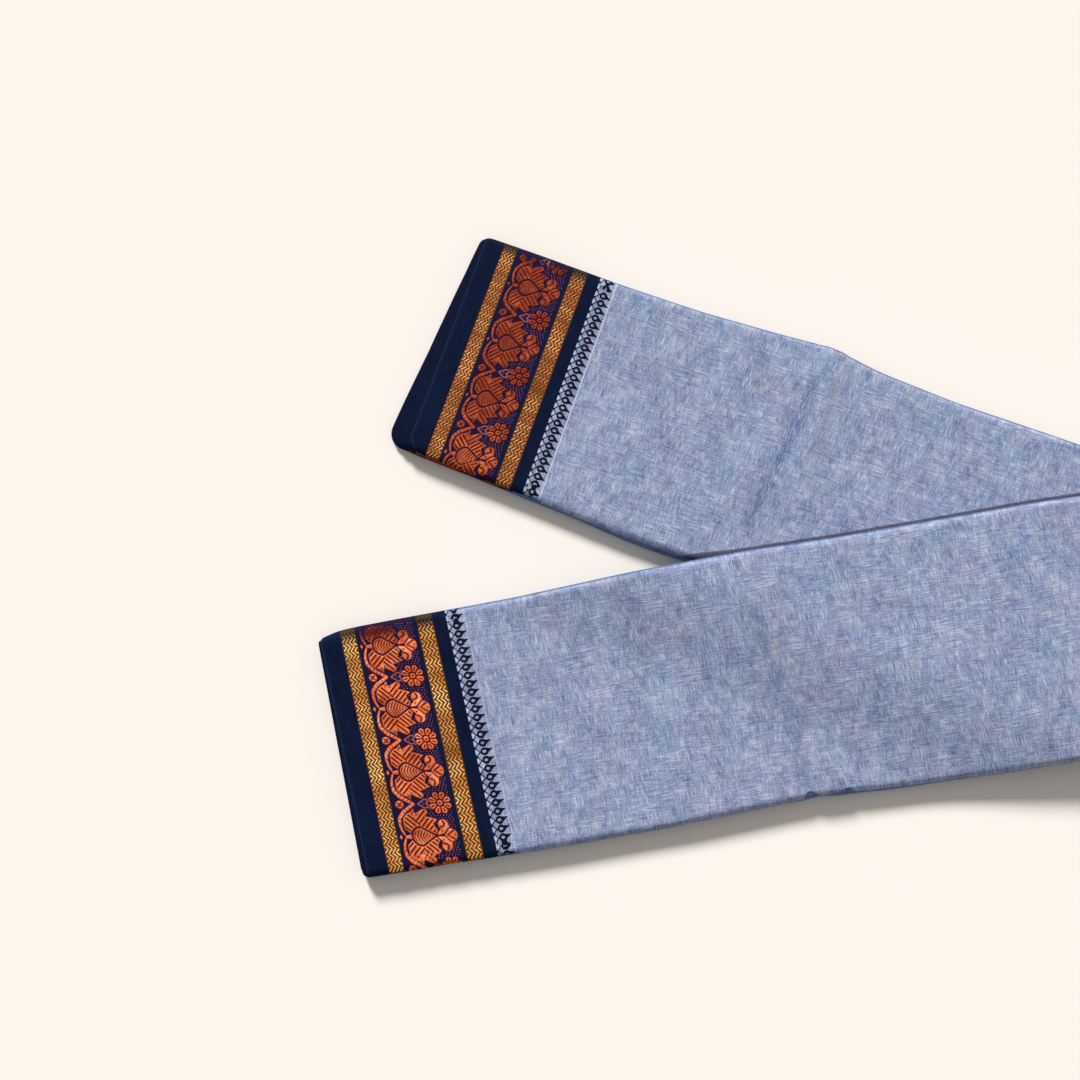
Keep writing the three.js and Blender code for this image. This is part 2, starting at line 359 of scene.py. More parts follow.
def cloth_half(arm, along, side):
    """Half the top cloth's width: its near edge is nicked where the pile was pinched. A nick is
    its place along, its run before and after that, and its depth."""
    nicked = np.zeros(np.shape(along))
    for place, before, after, depth in arm["notches"]:
        share = np.interp(along, (place - before, place, place + after), (0, 1, 0))
        nicked = nicked + depth * smooth_step(share, 0, 1)
    return half_width(arm, along, side) - nicked * (np.asarray(side) < 0)


def plan_point(arm, along, across):
    """Place in plan of a point given by its distances along and across an arm."""
    ahead = heading_vector(arm["heading"])
    left = heading_vector(arm["heading"] + 90)
    x = ahead[0] * (along - arm["length"]) + left[0] * across
    y = ahead[1] * (along - arm["length"]) + left[1] * across
    return x, y


def arm_place(arm, x, y):
    """Distances along and across an arm of a place in plan."""
    ahead = heading_vector(arm["heading"])
    left = heading_vector(arm["heading"] + 90)
    return x * ahead[0] + y * ahead[1] + arm["length"], x * left[0] + y * left[1]


def end_line(arm, across):
    """Distance along an arm of the top cloth's cut end."""
    return arm["end_at"] + arm["end_skew"] * across


def turn_start(arm, across):
    """Distance along an arm at which the strip starts to turn over."""
    back = TURN_SETBACK + SEAM + arm["lean"] * across * math.sin(LEAN)
    return arm["length"] - back / math.cos(LEAN)


def end_corner(arm, share, half):
    """How far the rounded corners of a cut end stand back, for each share of the half width."""
    radius = np.where(share > 0, arm["corners"][1], arm["corners"][0])
    inside = np.maximum(0, radius - half * (1 - np.abs(share)))
    return radius - np.sqrt(np.maximum(0, radius ** 2 - inside ** 2))


def leaf_reach(arm, leaf, share):
    """How far a hidden leaf's cut end stands out past the top cloth's."""
    steps = arm["steps"]
    far, near = [np.interp(leaf, steps[:, 0], steps[:, column]) for column in (1, 2)]
    return near + (far - near) * (share + 1) / 2


def roll_share(to_edge):
    """Share of its height that the pile loses where it rolls over a long edge."""
    return EDGE_DROP * np.maximum(0, 1 - to_edge / EDGE_ROLL) ** 2


def sale_crease(arm, along, across):
    """Raised crease across an arm, left by folding the strip in four for sale."""
    at, skew, near_fade = arm["crease"]
    away = (along - at - skew * across) / CREASE_HALF_WIDTH
    fade = smooth_step(across, near_fade, near_fade + CREASE_FADE)
    return CREASE_HEIGHT * np.exp(-away ** 2) * fade


def soft_folds(arm, along, across):
    """Troughs and ridges placed one by one, with a slow swell over the whole arm."""
    rise = 0.10 * np.sin(along / 23.0 + across / 31.0) * np.sin(along / 61.0 - across / 17.0)
    for at, beside, heading, half_length, half_across, height in arm["folds"]:
        turn = math.radians(heading)
        over = (along - at) * math.cos(turn) + (across - beside) * math.sin(turn)
        run = (across - beside) * math.cos(turn) - (along - at) * math.sin(turn)
        waver = 1.4 * np.sin(run / 9.0 + at)
        profile = np.exp(-((over + waver) / half_across) ** 2)
        rise = rise + height * profile * np.exp(-(run / half_length) ** 4)
    return rise


def over_lift(x, y):
    """Height of the over arm's underside: on the under arm, then sagging to the surface."""
    along, across = arm_place(UNDER, x, y)
    beside = -half_width(UNDER, along, -1) - across
    sagged = np.clip((beside - SAG_START) / SAG_LENGTH, 0, 1)
    sag = (1 + np.cos(np.pi * sagged)) / 2
    to_turn = -TURN_SETBACK - (x * OUTWARD[0] + y * OUTWARD[1])
    ease = 1 - smooth_step(to_turn, 0, TURN_EASE)
    return (PILE_HEIGHT + SEAM) * sag + (2 * TURN_INNER_RADIUS - SEAM) * ease


def on_arm(arm, along, across, height):
    """Points of a straight arm: height is measured from the underside of its pile."""
    along, across, height = np.broadcast_arrays(along, across, height)
    to_edge = half_width(arm, along, across) - np.abs(across)
    x, y = plan_point(arm, along, across)
    rise = sale_crease(arm, along, across) + soft_folds(arm, along, across)
    z = height * (1 - roll_share(to_edge)) + rise * np.clip(height / PILE_HEIGHT, 0, 1)
    if arm is OVER:
        z = z + over_lift(x, y)
    return np.stack([x, y, z], axis=-1)


def on_turn(turned, share, height, bulge):
    """Points of the turn: turned runs from 0 on the under arm to 1 on the over arm."""
    turned, share, height = np.broadcast_arrays(turned, share, height)
    at_turn = STRIP_HALF + np.where(share > 0, 2.0, 0.0)
    across = share * at_turn + np.where(np.abs(share) == 1, np.sign(share) * bulge, 0)
    roll = roll_share(at_turn * (1 - np.abs(share)))
    inside = PILE_HEIGHT - height
    radius = TURN_INNER_RADIUS + inside * (1 - roll * turned) + height * roll * (1 - turned)
    angle = np.pi * turned
    sideways = across / math.cos(LEAN) + TURN_SETBACK * math.tan(LEAN) * (1 - 2 * turned)
    out = radius * np.sin(angle) - TURN_SETBACK
    x = OUTWARD[0] * out + TURN_AXIS[0] * sideways
    y = OUTWARD[1] * out + TURN_AXIS[1] * sideways
    return np.stack([x, y, TURN_AXIS_HEIGHT - radius * np.cos(angle)], axis=-1)


# Meshes

def rim_order(rows, columns):
    """Grid places of the rim, once round, seen from above against the clock."""
    grid = np.arange(rows * columns).reshape(rows, columns)
    sides = [grid[:-1, 0], grid[-1, :-1], grid[:0:-1, -1], grid[0, :0:-1]]
    return np.concatenate(sides)


def closed_cloth(levels):
    """One closed shell from grids, the top face first; between the faces only rims are used.
    A grid has rows along the arm, columns across it, and channels x, y, z, u, v and more."""
    rows, columns = levels[0].shape[:2]
    count = rows * columns
    rim = rim_order(rows, columns)
    flat = [level.reshape(count, -1) for level in levels]
    points = [flat[0]] + [level[rim] for level in flat[1:-1]] + [flat[-1]]
    starts = np.cumsum([0] + [len(part) for part in points])[:-1]
    loops = [rim]
    loops += [start + np.arange(len(rim)) for start in starts[1:-1]]
    loops += [starts[-1] + rim]
    grid = np.arange(count).reshape(rows, columns)
    a, b, c, d = grid[:-1, :-1], grid[1:, :-1], grid[1:, 1:], grid[:-1, 1:]
    faces = [np.stack([a, b, c, d], axis=-1).reshape(-1, 4)]
    faces.append(starts[-1] + np.stack([a, d, c, b], axis=-1).reshape(-1, 4))
    for upper, lower in zip(loops, loops[1:]):
        walls = np.stack([upper, lower, np.roll(lower, -1), np.roll(upper, -1)], axis=-1)
        faces.append(walls)
    return np.concatenate(points), np.concatenate(faces)


def cloth_piece(node, levels, slot, materials, attributes=(), bounds=(), name=None):
    """A cloth shell in place of a CAD node. Its attributes are the channels after u and v, and
    its material changes at each of the bounds, which are distances from the selvedge."""
    points, faces = closed_cloth(levels)
    name = name or f"{node}_cloth"
    mesh = bpy.data.meshes.new(name)
    mesh.vertices.add(len(points))
    mesh.vertices.foreach_set("co", ((points[:, :3] + PLAN_SHIFT) / 1000).ravel())
    mesh.loops.add(faces.size)
    mesh.loops.foreach_set("vertex_index", faces.ravel())
    mesh.polygons.add(len(faces))
    mesh.polygons.foreach_set("loop_start", np.arange(0, faces.size, faces.shape[1]))
    mesh.update(calc_edges=True)
    mesh.polygons.foreach_set("use_smooth", np.ones(len(faces), dtype=bool))
    cloth_uv = mesh.uv_layers.new(name="cloth")
    cloth_uv.uv.foreach_set("vector", points[faces.ravel(), 3:5].ravel())
    for index, attribute in enumerate(attributes):
        values = mesh.attributes.new(attribute, "FLOAT", "POINT")
        values.data.foreach_set("value", points[:, 5 + index])
    for material in materials:
        mesh.materials.append(material)
    middle = points[faces, 3].mean(axis=1)
    band = np.searchsorted(bounds, middle).astype(np.int32)
    mesh.polygons.foreach_set("material_index", band)
    mesh.set_sharp_from_angle(angle=math.radians(SMOOTH_BELOW))
    piece = bpy.data.objects.new(name, mesh)
    bpy.context.scene.collection.objects.link(piece)
    return finish_piece(piece, slot, node)


def finish_piece(piece, slot, *nodes):
    """Everything lies on the one body; a cloth shell stands for its CAD node."""
    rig.ride(piece, "root")
    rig.slot(piece, slot)
    if nodes:
        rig.replaces(piece, *nodes)
    return piece


def spread_shares(step):
    """Shares across the strip: even steps, and closer ones where the cloth rolls over its edges."""
    near_edge = np.array([0, 0.25, 0.7, 1.4, 2.4, 3.6, 5.0, 6.6, 8.4, 10.4]) / STRIP_HALF
    inner = 1 - near_edge[-1]
    count = max(4, int(round(2 * inner * STRIP_HALF / step)))
    middle = np.linspace(-inner, inner, count + 1)[1:-1]
    return np.concatenate([near_edge - 1, middle, (1 - near_edge)[::-1]])


def with_channels(placed, *channels):
    """Places in a grid, each followed by its values for the cloth map and the attributes."""
    return np.concatenate([placed] + [channel[..., None] for channel in channels], axis=-1)


def band_grid(arm, band, rows, shares):
    """For each place in a band's grid: distance from the selvedge, place across, half width."""
    at = np.linspace(band[0], band[1], rows)[:, None]
    half = half_width(arm, arm["end_at"] + at, shares[None, :])
    return np.broadcast_to(at, half.shape), shares[None, :] * half, half


def cloth_levels(arm, at, shares, channels, relief=0.0):
    """Levels of a stretch of the top cloth. The distances from the selvedge are a grid of rows
    along the arm and columns across it; a stretch that starts at 0 gets the cut end's corners."""
    share = np.broadcast_to(shares[None, :], at.shape)
    half = cloth_half(arm, arm["end_at"] + at, share)
    if at[0, 0] == 0:
        cut = end_corner(arm, share, half)
        at = cut + at * (1 - cut / SELVEDGE_NAVY[1])
    on_rim = np.abs(share) == 1
    levels = []
    for drop, bulge in CLOTH_WALL:
        across = share * half + on_rim * np.sign(share) * bulge
        height = PILE_HEIGHT - drop + relief * (1 - drop / TOP_CLOTH)
        placed = on_arm(arm, end_line(arm, across) + at, across, height)
        levels.append(with_channels(placed, at, across, *channels))
    return levels


# Materials

def linear(hex_colour):
    """sRGB hex to the linear colour that the nodes use."""
    values = [int(hex_colour[i:i + 2], 16) / 255 for i in (1, 3, 5)]
    return [v / 12.92 if v <= 0.04045 else ((v + 0.055) / 1.055) ** 2.4 for v in values] + [1.0]


def add_node(tree, kind, inputs=(), stops=(), **settings):
    """A node with its settings, its colour stops, and its inputs linked or set. Colours are
    sRGB hex."""
    node = tree.nodes.new(kind)
    for name, value in settings.items():
        setattr(node, name, value)
    for index, (place, colour) in enumerate(stops):
        if index < 2:
            stop = node.color_ramp.elements[index]
            stop.position = place
        else:
            stop = node.color_ramp.elements.new(place)
        stop.color = linear(colour)
    for name, value in dict(inputs).items():
        if isinstance(value, bpy.types.NodeSocket):
            tree.links.new(value, node.inputs[name])
        elif isinstance(value, str) and value.startswith("#"):
            node.inputs[name].default_value = linear(value)
        else:
            node.inputs[name].default_value = value
    return node


def new_material(name):
    material = bpy.data.materials.new(name)
    material.use_nodes = True
    material.node_tree.nodes.clear()
    return material, material.node_tree


def woven_material(name, *attributes):
    """A new material, its tree, the cloth's own coordinates in millimetres, and the values that
    the meshes carry under the names given."""
    material, tree = new_material(name)
    cloth = add_node(tree, "ShaderNodeUVMap", uv_map="cloth").outputs["UV"]
    carried = [add_node(tree, "ShaderNodeAttribute", attribute_name=attribute).outputs["Fac"]
               for attribute in attributes]
    return material, tree, cloth, *carried


def share_of(tree, *causes):
    """How far a finish shows: the product of its causes. A cause is a value, or a value with the
    levels at which it begins and at which it is full."""
    share = None
    for cause in causes:
        if isinstance(cause, tuple):
            value, begins, full = cause
            eased = add_node(tree, "ShaderNodeMapRange", {
                "Value": value, "From Min": begins, "From Max": full,
            }, interpolation_type="SMOOTHSTEP")
            cause = eased.outputs["Result"]
        if share is not None:
            both = add_node(tree, "ShaderNodeMath", {0: share, 1: cause}, operation="MULTIPLY")
            cause = both.outputs["Value"]
        share = cause
    return share


def built_up(tree, total, *parts):
    """Adds parts to a value, each by its weight, as yarns build up a cloth."""
    for value, weight in parts:
        more = add_node(tree, "ShaderNodeMath", {0: value, 1: weight, 2: total},
                        operation="MULTIPLY_ADD")
        total = more.outputs["Value"]
    return total


def dyed(tree, under, over, *causes):
    """One colour laid over another, as far as its causes show it."""
    laid = add_node(tree, "ShaderNodeMix", {0: share_of(tree, *causes), 6: under, 7: over},
                    data_type="RGBA")
    return laid.outputs[2]


def yarn_streaks(tree, cloth, along, across, detail=2.0, start=0.0, shown=None):
    """Noise drawn out along the yarn, by its sizes along the arm and across it in millimetres.
    Where it is given, shown is the levels at which a streak begins and is full."""
    placed = add_node(tree, "ShaderNodeMapping", {
        "Vector": cloth,
        "Scale": (1 / along, 1 / across, 1),
        "Location": (start, start, start),
    })
    noise = add_node(tree, "ShaderNodeTexNoise", {
        "Vector": placed.outputs["Vector"],
        "Scale": 1.0,
        "Detail": detail,
        "Roughness": 0.6,
    })
    streaks = noise.outputs["Fac"]
    return share_of(tree, (streaks, *shown)) if shown else streaks


def finish_surface(tree, colour, roughness, gloss, relief=None, metallic=0.0):
    """Closes a material. The relief is a height and how deep it goes, in millimetres."""
    finish = {
        "Base Color": colour,
        "Metallic": metallic,
        "Roughness": roughness,
        "Specular IOR Level": gloss,
    }
    if relief:
        height, depth = relief
        bump = add_node(tree, "ShaderNodeBump", {"Height": height, "Distance": depth / 1000})
        finish["Normal"] = bump.outputs["Normal"]
    surface = add_node(tree, "ShaderNodeBsdfPrincipled", finish)
    add_node(tree, "ShaderNodeOutputMaterial", {"Surface": surface.outputs["BSDF"]})


# Half the width over which the edge of a woven shape goes from none to full
THREAD_EDGE = 0.14
# Places across the strip at which the metal threads start to lose the light as the border rolls
# over its far edge, and have lost it
ZARI_SHADE = (71.0, 81.5)
COPPER_SHADE = (70.0, 80.0)
# Chambray's yarns are about 0.3 mm; they are drawn nearly twice as coarse, so that they show.
# The border's threads are finer still, and are drawn at 0.45 mm and more for the same reason
YARN = 0.54
YARN_STREAK = 8.5
GRAIN = (0.6, 0.7)
SLUB_THICKNESS = 0.52
SLUB_LENGTH = 8.0
PICK_LENGTH = 4.0
CLUSTER = (7.0, 13.0)
PATCH = 30.0
LILAC_STOPS = [(0.54, "#556389"), (0.70, "#7a84aa"), (0.86, "#989ebb"), (1.0, "#c4c8da")]
BLUE_STOPS = [(0.54, "#4d638b"), (0.70, "#7287ad"), (0.86, "#92a0bf"), (1.0, "#c0cadd")]


def chambray_weave(tree, cloth):
    """Colour and height of uneven chambray: streaks both ways, white slubs and dark picks."""
    across = yarn_streaks(tree, cloth, YARN, YARN_STREAK, 1.0)
    along = yarn_streaks(tree, cloth, YARN_STREAK, YARN, 1.0, 3.7)
    grain = yarn_streaks(tree, cloth, *GRAIN, 1.0, 8.1)
    cluster = yarn_streaks(tree, cloth, *CLUSTER, start=6.4)
    patch = yarn_streaks(tree, cloth, PATCH * 0.7, PATCH, start=1.3, shown=(0.30, 0.68))
    ways = yarn_streaks(tree, cloth, PATCH * 0.8, PATCH * 0.5, start=5.9, shown=(0.34, 0.66))
    mixed = add_node(tree, "ShaderNodeMix", {0: ways, 2: across, 3: along}, data_type="FLOAT")
    level = built_up(tree, -0.10, (mixed.outputs[0], 0.50), (across, 0.33), (along, 0.22),
                     (grain, 0.40), (cluster, 0.35))
    lilac = add_node(tree, "ShaderNodeValToRGB", {"Fac": level}, stops=LILAC_STOPS)
    blue = add_node(tree, "ShaderNodeValToRGB", {"Fac": level}, stops=BLUE_STOPS)
    colour = dyed(tree, lilac.outputs["Color"], blue.outputs["Color"], patch)
    slub = yarn_streaks(tree, cloth, SLUB_THICKNESS, SLUB_LENGTH, 0.0, 11.0, (0.64, 0.74))
    warp_slub = yarn_streaks(tree, cloth, SLUB_LENGTH * 0.7, SLUB_THICKNESS, 0.0, 14.0,
                             (0.66, 0.76))
    pick = yarn_streaks(tree, cloth, SLUB_THICKNESS, PICK_LENGTH, 0.0, 17.0)
    pick = share_of(tree, (built_up(tree, pick, (cluster, 0.35)), 0.50, 0.40))
    warp_pick = yarn_streaks(tree, cloth, PICK_LENGTH, SLUB_THICKNESS, 0.0, 21.0)
    warp_pick = share_of(tree, (built_up(tree, warp_pick, (cluster, 0.35)), 0.48, 0.38))
    white = built_up(tree, slub, (warp_slub, 0.7))
    dark = built_up(tree, pick, (warp_pick, 0.8))
    colour = dyed(tree, colour, "#d0d2e2", white, 0.44)
    colour = dyed(tree, colour, "#42567f", dark, built_up(tree, 0.62, (cluster, -0.5)))
    return colour, built_up(tree, level, (white, 0.35), (dark, -0.30))


def painted_rim_shade(tree, colour, to_edge):
    """Painted shade: deeper blue in the last two millimetres, where the cloth rolls over its long edge."""
    return dyed(tree, colour, "#34456e", (to_edge, 2.0, 0.3), 0.80)


def chambray_cotton():
    """Handloom chambray cotton, matt, with uneven yarn: streaky blue and lilac, dry to the eye."""
    material, tree, cloth, worn, pressed, contact, to_edge = woven_material(
        "chambray_cotton", "worn", "pressed", "contact", "to_edge")
    colour, height = chambray_weave(tree, cloth)
    rubbed = yarn_streaks(tree, cloth, 1.1, 2.4, start=27.0, shown=(0.30, 0.58))
    crease_shade_streaks = yarn_streaks(tree, cloth, 0.8, 7.0, start=33.0, shown=(0.36, 0.60))
    colour = dyed(tree, colour, "#a39dab", worn, rubbed)
    # Painted shade in the trough at the foot of the sale crease: a darker blue line.
    colour = dyed(tree, colour, "#486188", pressed, crease_shade_streaks)
    colour = painted_rim_shade(tree, colour, to_edge)
    # Painted shadow: a dark band on the under arm just beyond the over arm's far edge, where it rests.
    painted_contact_shadow = dyed(tree, "#4f4a55", "#262442", (contact, 11.0, 13.2))
    colour = dyed(tree, colour, painted_contact_shadow, (contact, 10.0, 10.9), 0.86)
    finish_surface(tree, colour, 0.9, 0.12, (height, 0.20))
    return material


def folded_chambray():
    """The same chambray at the folds of the hidden leaves, deeper, bluer and matt: partly a less faded yarn, partly
    painted shade between the folded leaves.
    """
    material, tree, cloth = woven_material("folded_chambray")
    colour, height = chambray_weave(tree, cloth)
    finish_surface(tree, dyed(tree, colour, "#2f5f96", 0.62), 0.9, 0.12, (height, 0.20))
    return material


def navy_cotton():
    """Close plain-weave cotton dyed a near-black navy: matt, with fine threads and lint."""
    material, tree, cloth, worn = woven_material("navy_cotton", "worn")
    across = yarn_streaks(tree, cloth, 0.6, 12.0)
    along = yarn_streaks(tree, cloth, 9.0, 0.7, start=4.0)
    cloud = yarn_streaks(tree, cloth, 16.0, 22.0, start=9.0)
    level = built_up(tree, 0.0, (across, 0.4), (along, 0.3), (cloud, 0.3))
    navy_dye = add_node(tree, "ShaderNodeValToRGB", {"Fac": level}, stops=[
        (0.36, "#070f27"), (0.5, "#0a1530"), (0.64, "#0f1d3e"),
    ])
    lint = yarn_streaks(tree, cloth, 0.7, 1.6, 0.0, 31.0, (0.84, 0.92))
    colour = dyed(tree, navy_dye.outputs["Color"], "#7d80a0", lint, 0.35)
    colour = dyed(tree, colour, "#33416a", worn)
    finish_surface(tree, colour, 0.85, 0.05, (level, 0.12))
    return material


def temple_cotton():
    """Pale cotton with a row of dark woven leaf tips, set off by one thick white thread."""
    material, tree, cloth, dark, pale, to_edge = woven_material(
        "temple_cotton", "dark", "pale", "to_edge")
    colour, height = chambray_weave(tree, cloth)
    in_dark = share_of(tree, (dark, -THREAD_EDGE, THREAD_EDGE))
    colour = dyed(tree, colour, "#cdd3e6", pale)
    colour = painted_rim_shade(tree, dyed(tree, colour, "#070c20", in_dark), to_edge)
    finish_surface(tree, colour, 0.88, 0.1, (built_up(tree, height, (in_dark, 0.5)), 0.18))
    return material


def zari_ground():
    """Brown silk between the gold threads, in shadow: a dull, dark metal-tinged cloth."""
    material, tree, cloth = woven_material("zari_ground")
    place = add_node(tree, "ShaderNodeSeparateXYZ", {"Vector": cloth})
    thread = yarn_streaks(tree, cloth, 1.6, 0.5)
    silk = add_node(tree, "ShaderNodeValToRGB", {"Fac": thread}, stops=[
        (0.3, "#562a08"), (0.7, "#7d4712"),
    ])
    colour = dyed(tree, silk.outputs["Color"], "#20120a", (place.outputs["Y"], *ZARI_SHADE))
    finish_surface(tree, colour, 0.6, 0.15, (thread, 0.10), metallic=0.2)
    return material


def gold_zari(name, stops):
    """Gold zari, a cotton core wound with gilt strip: bright broken glints along each thread, painted into its colour
    in patches with painted shade between them.
    """
    material, tree, cloth = woven_material(name)
    place = add_node(tree, "ShaderNodeSeparateXYZ", {"Vector": cloth})
    winding = yarn_streaks(tree, cloth, 2.2, 0.45)
    painted_glint_patches = yarn_streaks(tree, cloth, 40.0, 18.0, start=6.0)
    level = built_up(tree, 0.0, (winding, 0.35), (painted_glint_patches, 0.75))
    gilt = add_node(tree, "ShaderNodeValToRGB", {"Fac": level}, stops=stops)
    colour = dyed(tree, gilt.outputs["Color"], "#3f2a1a", (place.outputs["Y"], *ZARI_SHADE))
    finish_surface(tree, colour, 0.55, 0.2, (winding, 0.12), metallic=0.45)
    return material


def copper_brocade():
    """Copper zari floats on a dark purple cotton ground: metal petals with dark red cut lines."""
    material, tree, cloth, motif, groove, catch, pink = woven_material(
        "copper_brocade", "motif", "groove", "catch", "pink")
    place = add_node(tree, "ShaderNodeSeparateXYZ", {"Vector": cloth})
    at, far = place.outputs["X"], place.outputs["Y"]
    thread = yarn_streaks(tree, cloth, 2.4, 0.5)
    cloud = yarn_streaks(tree, cloth, 6.0, 6.0, start=2.0)
    painted_glint_patches = yarn_streaks(tree, cloth, 30.0, 22.0, start=44.0, shown=(0.36, 0.56))
    catch = share_of(tree, catch, built_up(tree, 0.62, (painted_glint_patches, 0.40)))
    level = built_up(tree, 0.0, (thread, 0.4), (cloud, 0.5))
    # Painted light: a lit and a shaded copy of the copper, mixed by catch and its painted glint patches; the float
    # edges and cut lines below are shaded with it.
    bright = add_node(tree, "ShaderNodeValToRGB", {"Fac": level}, stops=[
        (0.34, "#e2683a"), (0.47, "#fb935e"), (0.60, "#ffc79c"),
    ])
    dull = add_node(tree, "ShaderNodeValToRGB", {"Fac": level}, stops=[
        (0.32, "#742112"), (0.46, "#93331b"), (0.60, "#b5552f"),
    ])
    copper = dyed(tree, dull.outputs["Color"], bright.outputs["Color"], catch)
    # Painted shade at the edges of the floats and beside the cut lines, deeper where the copper is shaded.
    float_edge_shade = dyed(tree, "#5a1712", "#b8431f", catch)
    copper = dyed(tree, copper, float_edge_shade, (motif, 0.75, 0.05), 0.75)
    copper = dyed(tree, copper, float_edge_shade, (groove, -0.75, 0.0), 0.6)
    copper = dyed(tree, copper, "#3a1014", (far, *COPPER_SHADE), 0.70)
    purple = dyed(tree, "#110720", "#2b1540", thread)
    ground = dyed(tree, "#0a1636", purple, (at, BROCADE[0] + 1.0, BROCADE[0] + 3.0),
                  (at, BROCADE[1] - 2.4, BROCADE[1] - 3.6))
    in_motif = share_of(tree, (motif, -THREAD_EDGE, THREAD_EDGE))
    in_groove = share_of(tree, (groove, -THREAD_EDGE, THREAD_EDGE), (catch, -0.35, 0.45))
    colour = dyed(tree, ground, copper, in_motif)
    colour = dyed(tree, colour, dyed(tree, "#35070b", "#6d0d06", catch), in_groove)
    colour = dyed(tree, colour, "#9a5a5e", (pink, -0.12, 0.12), 0.9)
    metal = share_of(tree, in_motif, built_up(tree, 1.0, (in_groove, -1.0)))
    roughness = built_up(tree, 0.88, (metal, -0.25))
    height = built_up(tree, thread, (in_motif, 1.0), (in_groove, -1.0))
    finish_surface(tree, colour, roughness, 0.08, (height, 0.16), share_of(tree, metal, 0.35))
    return material


def spun_thread(name, shades_per_metre, stops, roughness, gloss):
    """Cotton thread too thin to show its twist: matt, with its dye a little uneven."""
    material, tree = new_material(name)
    place = add_node(tree, "ShaderNodeTexCoord").outputs["Object"]
    noise = add_node(tree, "ShaderNodeTexNoise", {"Vector": place, "Scale": shades_per_metre})
    dye = add_node(tree, "ShaderNodeValToRGB", {"Fac": noise.outputs["Fac"]}, stops=stops)
    finish_surface(tree, dye.outputs["Color"], roughness, gloss)
    return material


def paper_floor():
    """Plain cream studio paper, matt."""
    material, tree = new_material("paper_floor")
    finish_surface(tree, "#f6f0ea", 1.0, 0.0)
    return material


# Brocade motif, charted. Distances in millimetres are positive inside a shape. U is
# measured from the line of flower centres and v from a flower's middle, mirrored about it.
FLOWER_LINE = 16.5
FLOWER_PERIOD = 42.8
HALF_PERIOD = FLOWER_PERIOD / 2
FLOWER_LEAF = [
    (-5.4, 1.2), (-7.4, 2.2), (-10.8, 5.4), (-10.9, 10.5), (-10.2, 13.0), (-7.6, 15.3),
    (-5.2, 16.3), (-2.8, 18.8), (-2.3, 15.4), (-1.8, 15.3), (3.4, 18.1), (5.6, 17.2),
    (6.2, 15.3), (4.0, 12.9), (6.0, 12.6), (11.6, 10.6), (8.5, 8.1), (9.1, 5.5),
    (10.3, 4.4), (10.4, 2.6), (9.0, 0.2), (0.0, 0.0),
]
PALMETTE = [
    (14.0, -0.6), (14.4, 0.5), (17.6, 4.0), (18.8, 4.5), (21.2, 3.4), (22.4, 1.6),
    (22.7, -0.6),
]
HEART = [
    (0.9, 21.4), (5.2, 18.5), (7.3, 18.9), (7.6, 20.3), (6.0, 21.4), (6.0, 24.0), (0.9, 24.0),
]
VINE = [
    (-1.9, 21.4, 1.1), (-9.6, 16.3, 1.3), (-12.7, 12.4, 1.2), (-13.2, 8.6, 1.0),
    (-12.7, 4.8, 0.85), (-11.4, 1.6, 0.75),
]
ROSETTE = (15.4, 21.4)
SCROLL = (14.6, 7.0)
SCROLL_BALL = (13.1, 7.6)
STRIPE_WIDTH = 0.98
LEAF_PITCH = 5.72


def stroke(u, v, start, end, start_radius, end_radius):
    """A straight stroke with round ends, whose width changes evenly along it."""
    du = end[0] - start[0]
    dv = end[1] - start[1]
    share = np.clip(((u - start[0]) * du + (v - start[1]) * dv) / (du * du + dv * dv), 0, 1)
    away = np.hypot(u - start[0] - share * du, v - start[1] - share * dv)
    return start_radius + (end_radius - start_radius) * share - away


def outline(u, v, corners):
    """Signed distance to a closed outline, positive inside."""
    away = np.full(np.shape(u), 1e9)
    inside = np.zeros(np.shape(u), dtype=bool)
    for start, end in zip(corners, corners[1:] + corners[:1]):
        away = np.minimum(away, -stroke(u, v, start, end, 0, 0))
        crosses = (start[1] > v) != (end[1] > v)
        slope = (end[0] - start[0]) / (end[1] - start[1] if end[1] != start[1] else 1e-9)
        inside ^= crosses & (u < start[0] + (v - start[1]) * slope)
    return np.where(inside, away, -away)


def lines(place, first, pitch, width):
    """Parallel lines at a pitch, positive inside a line."""
    return width / 2 - np.abs(np.mod((place - first) / pitch + 0.5, 1) - 0.5) * pitch


def union(*shapes):
    whole = shapes[0]
    for shape in shapes[1:]:
        whole = np.maximum(whole, shape)
    return whole


def less(shape, other, gap):
    """A shape with another cut out of it, with a gap between them."""
    return np.minimum(shape, -(other + gap))


